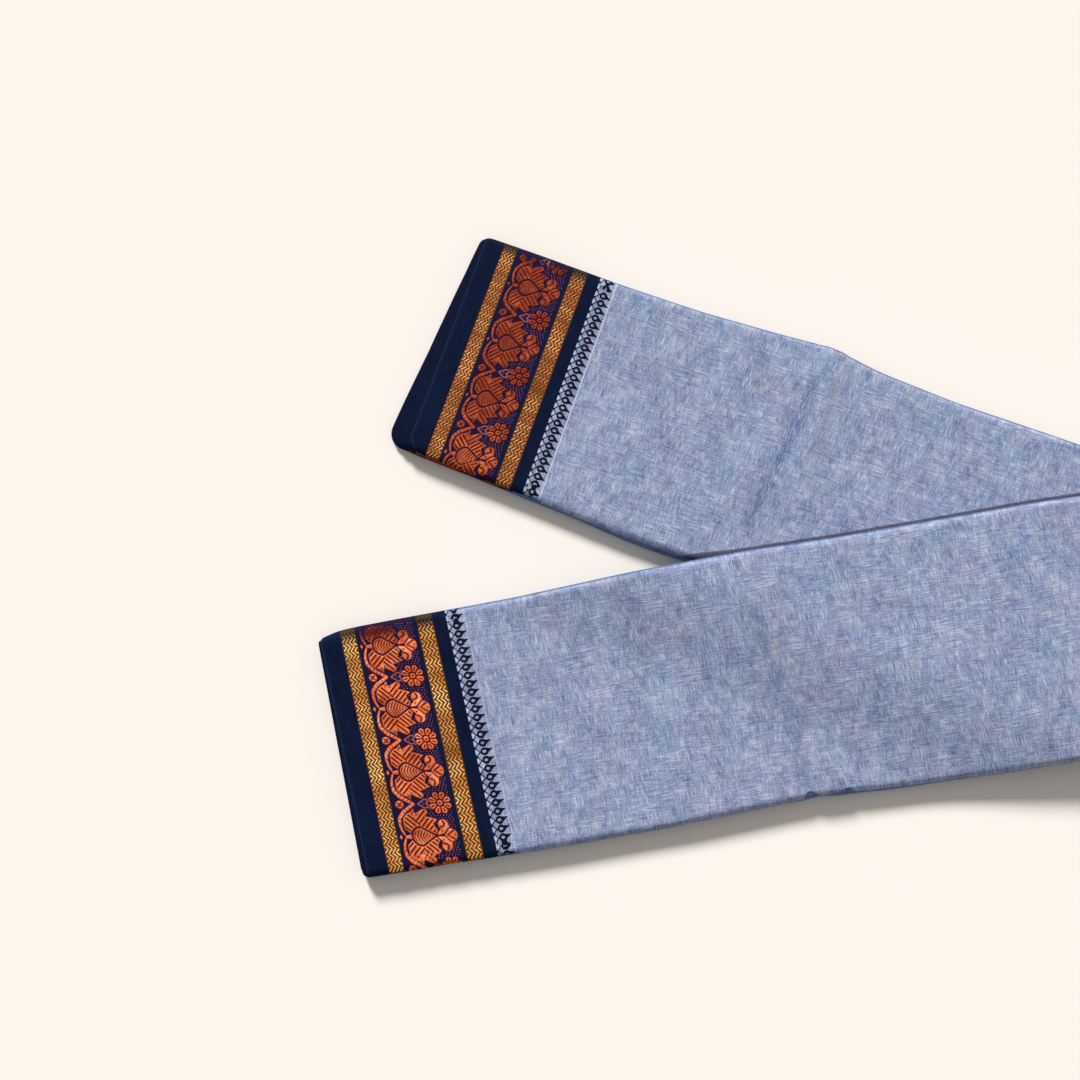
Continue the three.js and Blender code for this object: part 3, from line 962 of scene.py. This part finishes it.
def brocade_shapes(arm, at, across):
    """Distances to the copper shapes, to the dark lines on them, and to the pink outline."""
    u = at - BROCADE[0] - FLOWER_LINE
    v = across - arm["flower_at"] - arm["flower_shear"] * u
    v = np.abs(np.mod(v + HALF_PERIOD, FLOWER_PERIOD) - HALF_PERIOD)
    drop = stroke(u, v, (-0.6, 0), (7.8, 0), 5.6, 0.25)
    palmette = outline(u, v, PALMETTE)
    scroll = union(
        3.45 - np.hypot(u - SCROLL[0], v - SCROLL[1]),
        stroke(u, v, (10.6, 1.3), (14.0, 2.9), 0.9, 2.1),
        stroke(u, v, (14.0, 2.9), (16.0, 5.0), 2.1, 2.4),
    )
    vine = union(*[
        stroke(u, v, start[:2], end[:2], start[2], end[2]) for start, end in zip(VINE, VINE[1:])
    ])
    leaf = less(outline(u, v, FLOWER_LEAF), drop, 1.1)
    leaf = less(less(leaf, vine, 0.6), scroll, 0.6)
    scroll = less(less(scroll, palmette, 0.55), stroke(u, v, (9.0, 0), (14.6, 0), 0.2, 0.2), 0.2)
    knob = less(stroke(u, v, (-10.3, 0), (-7.4, 0), 1.1, 1.6), drop, 0.9)
    ball = less(2.7 - np.hypot(u + 10.9, v - HALF_PERIOD), vine, 0.45)
    bud = 0.9 * (1 - np.abs(u + 14.1) / 1.1 - v / 1.9)
    turn = np.arctan2(v - ROSETTE[1], u - ROSETTE[0])
    reach = np.hypot(v - ROSETTE[1], u - ROSETTE[0])
    petal_turn = np.mod(turn, math.pi / 4) - math.pi / 8
    pu, pv = reach * np.cos(petal_turn), reach * np.sin(petal_turn)
    petal = stroke(pu, pv, (3.7, 0), (5.6, 0), 1.2, 1.95)
    eye = 1.9 - reach
    copper = union(leaf, drop, palmette, scroll, vine, knob, ball, bud, petal, eye)
    left_side = (u + v < 8.8) & (u < -0.1)
    veins = np.where(
        left_side,
        lines((u + v) / math.sqrt(2), 0.2, 2.55, STRIPE_WIDTH),
        lines((u - v) / math.sqrt(2), -1.4, 2.5, STRIPE_WIDTH),
    )
    in_first_tip = (u < -1.9) & (u + v > 8.8)
    veins = np.where(in_first_tip, stroke(u, v, (-4.3, 15.0), (-3.3, 17.0), 0.25, 0.4), veins)
    veins = np.minimum(veins, leaf - 0.8)
    seeds = np.minimum(lines(u - 0.5 * v, 0.3, 1.95, 0.62), drop - 0.75)
    from_ball = np.hypot(u - SCROLL_BALL[0], v - SCROLL_BALL[1])
    around_ball = np.arctan2(v - SCROLL_BALL[1], u - SCROLL_BALL[0])
    curl = 0.5 - np.abs(from_ball - 2.1)
    curl = np.where((around_ball < 1.25) & (around_ball > -2.1), curl, -1.0)
    slot = stroke(u, v, (16.2, 0.1), (20.4, 2.9), 0.32, 0.48)
    marks = stroke(pu, pv, (4.0, 0), (6.0, 0), 0.25, 0.5)
    centre = HALF_PERIOD
    cross = union(stroke(u, v, (-10.9, centre), (-12.1, centre - 1.3), 0.35, 0.35),
                  stroke(u, v, (-10.9, centre), (-9.7, centre - 1.3), 0.35, 0.35))
    dots = union(0.6 - reach, 0.45 - np.hypot(u - 13.2, v - 2.8), 0.4 - np.hypot(u - 20.9, v))
    branch = np.minimum(lines(u + 0.8 * v, 0.4, 3.1, 0.4), np.minimum(vine - 0.4, v - 6.0))
    groove = union(veins, seeds, curl, slot, marks, cross, dots, branch)
    groove = np.minimum(groove, copper + 0.6)
    disc = np.minimum(6.9 - reach, -petal - 0.1)
    groove = union(groove, np.minimum(disc, -eye - 0.1))
    pink = 0.42 - np.abs(outline(u, v, HEART))
    pink = np.where(v > 21.6, -1.0, pink)
    # Painted shade: the copper fades into the ground within a few millimetres of the far edge, where the border rolls
    # away from the light.
    to_far = half_width(arm, arm["end_at"] + at, 1) - across
    copper = copper - 2.2 * smooth_step(5.5 - to_far, 0, 3.5)
    groove = np.minimum(groove, copper + 6.9)
    return copper, groove, pink


def temple_shapes(arm, at, across):
    """Distance to the dark lines of the leaf row, and the share of paler ground."""
    w = at - TEMPLE_BAND[0]
    half = LEAF_PITCH / 2
    signed = np.mod(across - arm["leaf_at"] + half, LEAF_PITCH) - half
    v = np.abs(signed)
    bump = stroke(w, v, (-0.4, half), (0.3, half), 1.1, 0.9)
    cross = stroke(w, v, (0.5, half), (3.1, -0.2), 0.34, 0.34)
    lifted = signed * arm["tip_side"]
    leaf = union(stroke(w, lifted, (3.5, -0.5), (6.0, 0), 0.5, 2.7),
                 stroke(w, lifted, (6.0, 0), (8.6, 0.6), 2.7, 1.3),
                 stroke(w, lifted, (8.6, 0.6), (12.0, 1.5), 1.2, 0.1))
    core = 0.95 - np.hypot((w - 5.9) / 1.3, lifted - 0.05)
    ring = np.minimum(leaf, -core)
    seed = 0.3 - np.hypot(w - 6.2, lifted)
    dark = union(bump, cross, ring, seed)
    cord = arm["cord"] * smooth_step(0.6 - np.abs(w - 12.2), 0, 0.35)
    triangle = 0.65 * smooth_step(stroke(w, v, (0.4, 0), (1.9, 0), 1.4, 0.2), 0, 0.4)
    pale = union(cord, triangle)
    return dark, pale


# Pieces

# Grey at the cut selvedge, and how far in it fades
SELVEDGE_WEAR = 0.35
WEAR_DEPTH = 0.7
# How far the copper floats and the leaf tips stand up, and how deep the cut lines are
COPPER_RISE = 0.32
CUT_DEPTH = 0.2
LEAF_TIP_RISE = 0.1
# How brightly the copper catches the light on the sides of the pile
SIDE_CATCH = 0.15
# The painted rim shade is thinner along the near edge, where the distance to the edge counts this much more
NEAR_RIM = 1.5
FIELD_VALUES = ["worn", "pressed", "contact", "to_edge"]


def band_piece(arm, name, band, step, shares, material, slot):
    """A stretch of plain top cloth, greyed where it starts at the selvedge."""
    rows = math.ceil((band[1] - band[0]) / step) + 1
    at = band_grid(arm, band, rows, shares)[0]
    worn = (band[0] == 0) * SELVEDGE_WEAR * np.exp(-at / WEAR_DEPTH)
    levels = cloth_levels(arm, at, shares, [worn])
    return cloth_piece(f"{arm['name']}_{name}", levels, slot, [material], ["worn"])


def catch_light(arm, across):
    """How brightly the copper lies to the light: the upper border is duller than the lower."""
    if arm is OVER:
        return 0.95 * smooth_step(-across, -80, -66)
    return 0.10 + 0.30 * smooth_step(-across, 10, 75)


def brocade_piece(arm, material):
    """The brocade: copper floats raised on their ground, on a fine grid."""
    shares = spread_shares(0.42)
    at, across, _ = band_grid(arm, BROCADE, 104, shares)
    copper, groove, pink = brocade_shapes(arm, at, across)
    relief = COPPER_RISE * smooth_step(copper, -0.15, 0.45)
    relief = relief - CUT_DEPTH * smooth_step(groove, -0.1, 0.3)
    relief = relief * smooth_step(at, BROCADE[0], BROCADE[0] + 0.8)
    channels = [copper, groove, pink, catch_light(arm, across)]
    levels = cloth_levels(arm, at, shares, channels, relief)
    return cloth_piece(f"{arm['name']}_brocade", levels, "copper_brocade", [material],
                       ["motif", "groove", "pink", "catch"])


def temple_piece(arm, material):
    """The band of leaf tips between the border and the field."""
    shares = spread_shares(0.46)
    at, across, half = band_grid(arm, TEMPLE_BAND, 36, shares)
    dark, pale = temple_shapes(arm, at, across)
    relief = LEAF_TIP_RISE * smooth_step(dark, -0.1, 0.3)
    relief = relief * smooth_step(TEMPLE_BAND[1] - at, 0, 0.8)
    levels = cloth_levels(arm, at, shares, [dark, pale, half - np.abs(across)], relief)
    return cloth_piece(f"{arm['name']}_temple_band", levels, "temple_band", [material],
                       ["dark", "pale", "to_edge"])


def field_piece(arm, material):
    """The field: one sheet from the border to the turn, with folds, edges rolled and worn."""
    shares = spread_shares(2.0)
    half = half_width(arm, arm["length"], shares)
    last = turn_start(arm, shares * half) - end_line(arm, shares * half)
    rows = int((arm["length"] - FIELD_START) / 1.9)
    run = np.linspace(0, 1, rows + 1)[:, None]
    at = FIELD_START + run * (last[None, :] - FIELD_START)
    half = cloth_half(arm, arm["end_at"] + at, shares[None, :])
    across = shares[None, :] * half
    along = end_line(arm, across) + at
    channels = [
        field_wear(arm, along, across),
        crease_shade_share(arm, along, across),
        contact_depth(arm, along, across),
        half - np.abs(across) + NEAR_RIM * (across < 0),
    ]
    levels = cloth_levels(arm, at, shares, channels)
    return cloth_piece(f"{arm['name']}_field", levels, "field_cotton", [material], FIELD_VALUES)


def field_wear(arm, along, across):
    """Greyed line where the folded strip was pressed for sale."""
    at, skew, near_fade, strength = arm["worn_line"]
    away = along - at - skew * across + 1.0 * np.sin(across / 5.0) + 0.6 * np.sin(across / 2.1)
    narrow = np.exp(-(away / 1.9) ** 2)
    wide = 0.35 * np.exp(-(away / 8.0) ** 2)
    return strength * np.clip(narrow + wide, 0, 1) * smooth_step(across, near_fade, near_fade + 40)


def crease_shade_share(arm, along, across):
    """Painted shade: a darker, bluer line in the trough at the foot of the sale crease."""
    at, skew, near_end, strength = arm["crease_shade_line"]
    away = along - at - skew * across + 1.2 * np.sin(across / 7.0)
    narrow = np.exp(-(away / 3.8) ** 2) + 0.4 * np.exp(-((away + 5.0) / 7.0) ** 2)
    reach = smooth_step(across, near_end, near_end + 25) * smooth_step(78 - across, 0, 30)
    return np.clip(strength * narrow * reach, 0, 1)


def contact_depth(arm, along, across):
    """Millimetres inside the painted contact shadow that lies beside the over arm's far edge, plus ten."""
    if arm is OVER:
        return np.zeros(np.shape(along))
    over_along, over_across = arm_place(OVER, *plan_point(arm, along, across))
    beyond = over_across - half_width(OVER, over_along, 1)
    reach = 3.4 + 2.4 * np.exp(-((over_along - 252) / 22) ** 2)
    return np.clip(10 + reach - beyond, 0, 16)


def layers_piece(arm, materials):
    """The hidden leaves: rolled folds down the long sides and stepped selvedges at the end."""
    share = spread_shares(5.0)[None, :]
    on_rim = np.abs(share) == 1
    half_end = half_width(arm, 0.0, share)
    cut = end_corner(arm, share, half_end)
    turn_at = turn_start(arm, share * half_width(arm, arm["length"], share))
    border_rows = np.linspace(0, FIELD_START, 78)[:, None]
    field_run = np.linspace(0, 1, int((arm["length"] - FIELD_START) / 3.2))[1:, None]
    top = PILE_HEIGHT - TOP_CLOTH - LEAF_CLEARANCE
    thickness = top / LEAF_COUNT
    rng = np.random.default_rng(arm["leaf_seed"])
    levels = []
    for leaf in range(LEAF_COUNT):
        out = leaf_reach(arm, leaf, share)
        out = out + 0.18 * np.sin(share * rng.uniform(5, 11) + rng.uniform(0, 6))
        start = end_line(arm, share * half_end) - out
        border = start + cut + border_rows * (1 - cut / FIELD_START)
        field = border[-1:] + field_run * (turn_at - border[-1:])
        along = np.concatenate([border, field])
        at = along - start
        waves = rng.uniform(0, 6.28, 3)
        sway = 0.30 * np.sin(along / 37.0 + waves[0]) + 0.22 * np.sin(along / 13.0 + waves[1])
        sway = sway - 0.45 - 0.35 * abs(math.sin(waves[2]))
        peek = sum(depth * np.exp(-((along - place) / width) ** 2)
                   for place, width, depth in arm["peeks"])
        sway = sway + (share < 0) * (LEAF_PEEK + peek) * (leaf > 1)
        half = half_width(arm, along, share)
        for drop, bulge in LEAF_WALL:
            height = top - (leaf + drop) * thickness
            if (leaf, drop) == (LEAF_COUNT - 1, LEAF_WALL[-1][0]):
                height = 0.0
            across = share * half + on_rim * np.sign(share) * (bulge + sway)
            placed = on_arm(arm, along, across, height)
            down = (top - height) * on_rim * np.sign(share) + across
            copper, groove, pink = brocade_shapes(arm, at, down)
            unworn = np.zeros(at.shape)
            channels = [unworn, copper, groove, pink, unworn + SIDE_CATCH]
            levels.append(with_channels(placed, at, down, *channels))
    bounds = [band[1] for band in (SELVEDGE_NAVY, OUTER_ZARI, BROCADE, INNER_ZARI, INNER_NAVY)]
    return cloth_piece(f"{arm['name']}_layers", levels, "hidden_leaves", materials,
                       ["worn", "motif", "groove", "pink", "catch"], bounds)


def turn_pieces(cloth_material, leaf_material):
    """The turn, plain: the cloth round the outside, and the leaves that it turns round."""
    turned = np.linspace(0, 1, 37)[:, None]
    share = spread_shares(5.0)[None, :]
    arc = math.pi * (TURN_INNER_RADIUS + PILE_HEIGHT)
    over_end = OVER["length"] - OVER["end_at"]
    at = over_end + arc * (1 - turned) + 0 * share
    unworn = np.zeros(at.shape)
    channels = [at, share * STRIP_HALF + unworn, unworn, unworn, unworn, unworn + STRIP_HALF]

    def level(height, bulge):
        return with_channels(on_turn(turned, share, height, bulge), *channels)

    levels = [level(drop, bulge) for drop, bulge in reversed(CLOTH_WALL)]
    sheet = cloth_piece("turn_cloth", levels, "field_cotton", [cloth_material], FIELD_VALUES,
                        name="turn_sheet")
    start = TOP_CLOTH + LEAF_CLEARANCE
    thickness = (PILE_HEIGHT - start) / LEAF_COUNT
    levels = []
    for leaf in range(LEAF_COUNT):
        sway = -0.5 + 0.35 * np.sin(leaf * 2.3 + 3.0 * turned)
        for rise, bulge in reversed(LEAF_WALL):
            height = start + (LEAF_COUNT - 1 - leaf + rise) * thickness
            levels.append(level(height, bulge + sway))
    cloth_piece("turn_layers", levels, "hidden_leaves", [leaf_material])
    return sheet


# Threads and dashes that repeat, made with geometry nodes

# Rows of pink dashes: slant from across the border in degrees, row spacing and pitch along a row
DASH_SLANT = 26.0
DASH_ROW = 1.85
DASH_PITCH = 1.75
DASH_SIZES = {"Dash width": 0.55, "Dash height": 0.22}
# Binding threads under the cut ends: under the top cloth, and under these leaves
BINDING_LEAVES = (3, 7)
BINDING_SIZES = {"Thread width": 0.7, "Thread height": 0.3}
# Zigzag of the zari weave: period along the band, pitch and reach across it, and how far the
# ribs stay inside the band's edges
ZIGZAG_PERIOD = 5.9
ZIGZAG_PITCH = 2.75
ZIGZAG_REACH = 2.8
ZIGZAG_MARGIN = 0.4
RIB_SIZES = {"Thread width": 1.02, "Thread height": 0.34}


def open_weave(name, *sizes):
    """A geometry nodes tree with a named input for each size in metres, and what it is given."""
    tree = bpy.data.node_groups.new(name, "GeometryNodeTree")
    tree.interface.new_socket("Geometry", in_out="INPUT", socket_type="NodeSocketGeometry")
    for size in sizes:
        tree.interface.new_socket(size, in_out="INPUT", socket_type="NodeSocketFloat")
    tree.interface.new_socket("Geometry", in_out="OUTPUT", socket_type="NodeSocketGeometry")
    return tree, add_node(tree, "NodeGroupInput").outputs


def close_weave(tree, threads, material):
    """Ends a tree with plain threads in their material."""
    whole = add_node(tree, "GeometryNodeRealizeInstances", {"Geometry": threads})
    finished = add_node(tree, "GeometryNodeSetMaterial", {
        "Geometry": whole.outputs["Geometry"],
        "Material": material,
    })
    add_node(tree, "NodeGroupOutput", {"Geometry": finished.outputs["Geometry"]})
    return tree


def thread_tree(name, material):
    """Sweeps a flat oval thread along every edge path."""
    tree, given = open_weave(name, "Thread width", "Thread height")
    path = add_node(tree, "GeometryNodeMeshToCurve", {"Mesh": given["Geometry"]})
    upright = add_node(tree, "GeometryNodeSetCurveNormal", {"Curve": path.outputs["Curve"]},
                       mode="Z_UP")
    ring = add_node(tree, "GeometryNodeCurvePrimitiveCircle", {"Resolution": 6, "Radius": 0.5})
    size = add_node(tree, "ShaderNodeCombineXYZ", {
        "X": given["Thread width"],
        "Y": given["Thread height"],
        "Z": 1.0,
    })
    oval = add_node(tree, "GeometryNodeTransform", {
        "Geometry": ring.outputs["Curve"],
        "Scale": size.outputs["Vector"],
    })
    swept = add_node(tree, "GeometryNodeCurveToMesh", {
        "Curve": upright.outputs["Curve"],
        "Profile Curve": oval.outputs["Geometry"],
        "Fill Caps": True,
    })
    return close_weave(tree, swept.outputs["Mesh"], material)


def dash_tree(name, material):
    """Puts a small oval stitch on every point, by the heading and length that it carries."""
    tree, given = open_weave(name, "Dash width", "Dash height")
    heading, length = [
        add_node(tree, "GeometryNodeInputNamedAttribute", {"Name": carried},
                 data_type="FLOAT").outputs["Attribute"]
        for carried in ("heading", "length")
    ]
    turn = add_node(tree, "ShaderNodeCombineXYZ", {"Z": heading})
    size = add_node(tree, "ShaderNodeCombineXYZ", {
        "X": length,
        "Y": given["Dash width"],
        "Z": given["Dash height"],
    })
    stitch = add_node(tree, "GeometryNodeMeshIcoSphere", {"Radius": 0.5, "Subdivisions": 1})
    placed = add_node(tree, "GeometryNodeInstanceOnPoints", {
        "Points": given["Geometry"],
        "Instance": stitch.outputs["Mesh"],
        "Rotation": turn.outputs["Vector"],
        "Scale": size.outputs["Vector"],
    })
    return close_weave(tree, placed.outputs["Instances"], material)


def woven(name, points, edges, tree, sizes, material, carried=()):
    """Runs a geometry nodes tree on points and edges, and keeps the result as a plain mesh.
    Sizes are in millimetres, and the points carry the values given by name."""
    mesh = bpy.data.meshes.new(f"{name}_paths")
    places = (points + PLAN_SHIFT) / 1000
    mesh.from_pydata([tuple(place) for place in places], edges, [])
    for label, numbers in dict(carried).items():
        layer = mesh.attributes.new(label, "FLOAT", "POINT")
        layer.data.foreach_set("value", np.asarray(numbers, dtype=np.float32))
    source = bpy.data.objects.new(f"{name}_paths", mesh)
    bpy.context.scene.collection.objects.link(source)
    modifier = source.modifiers.new("weave", "NODES")
    modifier.node_group = tree
    for socket in tree.interface.items_tree:
        if socket.name in sizes:
            modifier[socket.identifier] = sizes[socket.name] / 1000
    bpy.context.view_layer.update()
    evaluated = source.evaluated_get(bpy.context.evaluated_depsgraph_get())
    made = bpy.data.meshes.new_from_object(evaluated)
    made.name = name
    source.modifiers.remove(modifier)
    bpy.data.objects.remove(source)
    made.materials.clear()
    made.materials.append(material)
    made.polygons.foreach_set("use_smooth", np.ones(len(made.polygons), dtype=bool))
    piece = bpy.data.objects.new(name, made)
    bpy.context.scene.collection.objects.link(piece)
    return piece


def zigzag_paths(arm, band):
    """Rib lines of a zari band: zigzags along the band, a pitch apart, cut off at its edges."""
    count = int(round((band[1] - band[0]) / ZIGZAG_PITCH))
    pitch = (band[1] - band[0]) / count
    half = half_width(arm, arm["end_at"] + sum(band) / 2, np.array([-1, 1]))
    step = ZIGZAG_PERIOD / 8
    first, last = math.ceil((0.6 - half[0]) / step), math.floor((half[1] - 0.5) / step)
    across = step * np.arange(first, last)
    wave = 2 * np.abs(np.mod(across / ZIGZAG_PERIOD, 1) - 0.5)
    points, edges = [], []
    for line in range(-1, count + 1):
        free = band[0] + pitch * (line + 0.5) + (wave - 0.5) * ZIGZAG_REACH
        at = np.clip(free, band[0] + ZIGZAG_MARGIN, band[1] - ZIGZAG_MARGIN)
        inside = np.abs(free - at) < ZIGZAG_MARGIN
        start = len(across) * len(points)
        edges += [(start + i, start + i + 1) for i in range(len(across) - 1)
                  if inside[i] and inside[i + 1]]
        points.append(on_arm(arm, end_line(arm, across) + at, across, PILE_HEIGHT + 0.06))
    return np.concatenate(points), edges


def zari_ribs(arm, name, band, tree, material):
    """The gold ribs of a zari band, with the cloth's coordinates worked out from their place."""
    points, edges = zigzag_paths(arm, band)
    piece = woven(f"{arm['name']}_{name}_ribs", points, edges, tree, RIB_SIZES, material)
    mesh = piece.data
    places = np.empty(len(mesh.vertices) * 3)
    mesh.vertices.foreach_get("co", places)
    places = places.reshape(-1, 3) * 1000 - PLAN_SHIFT
    along, across = arm_place(arm, places[:, 0], places[:, 1])
    corners = np.empty(len(mesh.loops), dtype=np.int32)
    mesh.loops.foreach_get("vertex_index", corners)
    cloth_uv = mesh.uv_layers.get("cloth") or mesh.uv_layers.new(name="cloth")
    at = along - end_line(arm, across)
    cloth_uv.uv.foreach_set("vector", np.stack([at, across], axis=-1)[corners].ravel())
    return finish_piece(piece, "gold_zari")


def brocade_dashes(arm, tree, material):
    """Pink dashes on the ground beside the rosettes, in slanting rows that mirror each other."""
    rng = np.random.default_rng(arm["dash_seed"])
    rows, steps = np.meshgrid(np.arange(-40, 60), np.arange(-60, 60))
    slant = math.radians(DASH_SLANT)
    over = rows * DASH_ROW
    run = (steps + (rows % 2) * 0.5) * DASH_PITCH
    u = (over * math.cos(slant) + run * math.sin(slant)).ravel()
    v = (over * math.sin(slant) - run * math.cos(slant)).ravel()
    near = (u > 18.5) & (u < 38.8) & (v > 0.3) & (v < HALF_PERIOD - 0.2)
    u, v = u[near], v[near]
    points, headings, lengths = [], [], []
    for flower in range(-4, 2):
        for side in (-1, 1):
            middle = arm["flower_at"] + flower * FLOWER_PERIOD
            middle = middle + arm["flower_shear"] * (u - FLOWER_LINE)
            across = middle + side * v
            at = BROCADE[0] + u
            half = half_width(arm, arm["end_at"] + at, across)
            copper, _, pink = brocade_shapes(arm, at, across)
            free = (half - np.abs(across) > 3.5) & (copper < -0.7) & (pink < -0.5)
            placed = on_arm(arm, end_line(arm, across) + at, across, PILE_HEIGHT + 0.03)
            rise = arm["flower_shear"] * math.sin(slant) - side * math.cos(slant)
            turn = math.radians(arm["heading"]) + math.atan2(rise, math.sin(slant))
            points.append(placed[free])
            headings.append(turn + rng.normal(0, 0.06, free.sum()))
            lengths.append(rng.uniform(1.0, 1.6, free.sum()) / 1000)
    carried = {"heading": np.concatenate(headings), "length": np.concatenate(lengths)}
    piece = woven(f"{arm['name']}_brocade_dashes", np.concatenate(points), [], tree, DASH_SIZES,
                  material, carried)
    return finish_piece(piece, "copper_brocade")


def selvedge_threads(arm, tree, material):
    """Thin threads in the gaps under the cut ends of the top cloth and of the leaves, coloured near black as painted
    shade in those gaps.
    """
    share = np.linspace(-0.93, 0.97, 60)
    half = half_width(arm, 0.0, share)
    across = share * half
    cut = end_corner(arm, share, half)
    top = PILE_HEIGHT - TOP_CLOTH
    gaps = [(top + 0.05, 0.0)]
    for leaf in BINDING_LEAVES:
        gaps.append((top - (leaf + 1) * top / LEAF_COUNT + 0.1, leaf_reach(arm, leaf, share)))
    points, edges = [], []
    for height, out in gaps:
        start = len(across) * len(points)
        edges += [(start + i, start + i + 1) for i in range(len(across) - 1)]
        points.append(on_arm(arm, end_line(arm, across) - out + cut - 0.25, across, height))
    piece = woven(f"{arm['name']}_selvedge_threads", np.concatenate(points), edges, tree,
                  BINDING_SIZES, material)
    return finish_piece(piece, "navy_cotton")


chambray = chambray_cotton()
folded = folded_chambray()
navy = navy_cotton()
gold_ground = zari_ground()
brocade = copper_brocade()
temple = temple_cotton()
# Pink weft, half metal, half cotton: small dull flecks with little shine
pink = spun_thread("pink_thread", 400.0, [(0.35, "#5f4163"), (0.65, "#96708c")], 0.7, 0.15)
# Binding thread coloured nearly black in the gap under each cut end: painted shade that reads as a dark slit
slit_shade_thread = spun_thread("selvedge_thread", 260.0, [(0.4, "#030612"), (0.7, "#0d1530")], 0.85, 0.1)

binding_tree = thread_tree("selvedge_binding", slit_shade_thread)
stitch_tree = dash_tree("brocade_dash_weave", pink)

SIDE_MATERIALS = [navy, gold_ground, brocade, gold_ground, navy, folded]
coarse = spread_shares(2.5)
zari_shares = spread_shares(2.0)
fields = []
for arm in (UNDER, OVER):
    # Each arm gets its own copy of the gilt: the under arm's painted darker, as in shade, the over arm's brighter, as
    # lit.
    gold = gold_zari(f"{arm['name']}_gold_zari", arm["gold"])
    rib_tree = thread_tree(f"{arm['name']}_rib_weave", gold)
    layers_piece(arm, SIDE_MATERIALS)
    on_cloth = [
        band_piece(arm, "selvedge_navy", SELVEDGE_NAVY, 1.4, coarse, navy, "navy_cotton"),
        band_piece(arm, "outer_zari", OUTER_ZARI, 1.7, zari_shares, gold_ground, "gold_zari"),
        brocade_piece(arm, brocade),
        band_piece(arm, "inner_zari", INNER_ZARI, 1.85, zari_shares, gold_ground, "gold_zari"),
        band_piece(arm, "inner_navy", INNER_NAVY, 1.6, coarse, navy, "navy_cotton"),
        temple_piece(arm, temple),
        zari_ribs(arm, "outer_zari", OUTER_ZARI, rib_tree, gold),
        zari_ribs(arm, "inner_zari", INNER_ZARI, rib_tree, gold),
        brocade_dashes(arm, stitch_tree, pink),
        selvedge_threads(arm, binding_tree, slit_shade_thread),
    ]
    fields.append((field_piece(arm, chambray), on_cloth))
turn_cloth = turn_pieces(chambray, folded)

# What shows of the one cut: each stretch of the top leaf, with the border woven across its end
for (field, on_cloth), arm in zip(fields, (UNDER, OVER)):
    length = (arm["length"] - FIELD_START) / 1000
    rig.sheet(field, flat=(0.172, length), held="folded", rests_on=[f"{arm['name']}_layers_cloth"],
             with_pieces=on_cloth)
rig.sheet(turn_cloth, flat=(0.172, 0.037), held="folded", rests_on=["turn_layers_cloth"])

# Floor, light and camera
FLOOR_REACH = 3.0
floor_mesh = bpy.data.meshes.new("floor")
floor_corners = [(x * FLOOR_REACH, y * FLOOR_REACH, 0)
                 for x, y in ((-1, -1), (1, -1), (1, 1), (-1, 1))]
floor_mesh.from_pydata(floor_corners, [], [(0, 1, 2, 3)])
floor_mesh.materials.append(paper_floor())
floor = bpy.data.objects.new("floor", floor_mesh)
bpy.context.scene.collection.objects.link(floor)
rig.stage(floor)

SUN_ELEVATION = 26.5
SUN_AZIMUTH = 112.0
SUN_SOFTNESS = 12.0
SUN_STRENGTH = 5.29
STUDIO_FILL = 0.33
sun = bpy.data.lights.new("window_light", "SUN")
sun.energy = SUN_STRENGTH
sun.angle = math.radians(SUN_SOFTNESS)
sun.color = (1.0, 0.985, 0.96)
sun_object = bpy.data.objects.new("window_light", sun)
sun_object.rotation_euler = (0, math.radians(90 - SUN_ELEVATION), math.radians(SUN_AZIMUTH))
bpy.context.scene.collection.objects.link(sun_object)

world = bpy.data.worlds.new("studio")
world.use_nodes = True
world.node_tree.nodes["Background"].inputs["Color"].default_value = (1.0, 0.98, 0.96, 1.0)
world.node_tree.nodes["Background"].inputs["Strength"].default_value = STUDIO_FILL
bpy.context.scene.world = world
bpy.context.scene.view_settings.view_transform = "Standard"

CAMERA_AT = (-0.1474, -0.1344, 0.8860)
CAMERA_TILT = 9.0
CAMERA_LENS = 43.33
camera = bpy.data.cameras.new("photo_camera")
camera.sensor_width = 36.0
camera.lens = CAMERA_LENS
camera.clip_start = 0.01
camera_object = bpy.data.objects.new("photo_camera", camera)
camera_object.location = CAMERA_AT
camera_object.rotation_euler = (math.radians(CAMERA_TILT), 0, 0)
bpy.context.scene.collection.objects.link(camera_object)
bpy.context.scene.camera = camera_object

bpy.context.view_layer.update()
with open("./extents.json", "w") as size_file:
    boxes = {
        "cad": [[float(x) for x in corner] for corner in CAD_BOX],
        "visual": [[float(x) for x in corner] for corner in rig.bounds()],
    }
    json.dump(boxes, size_file)
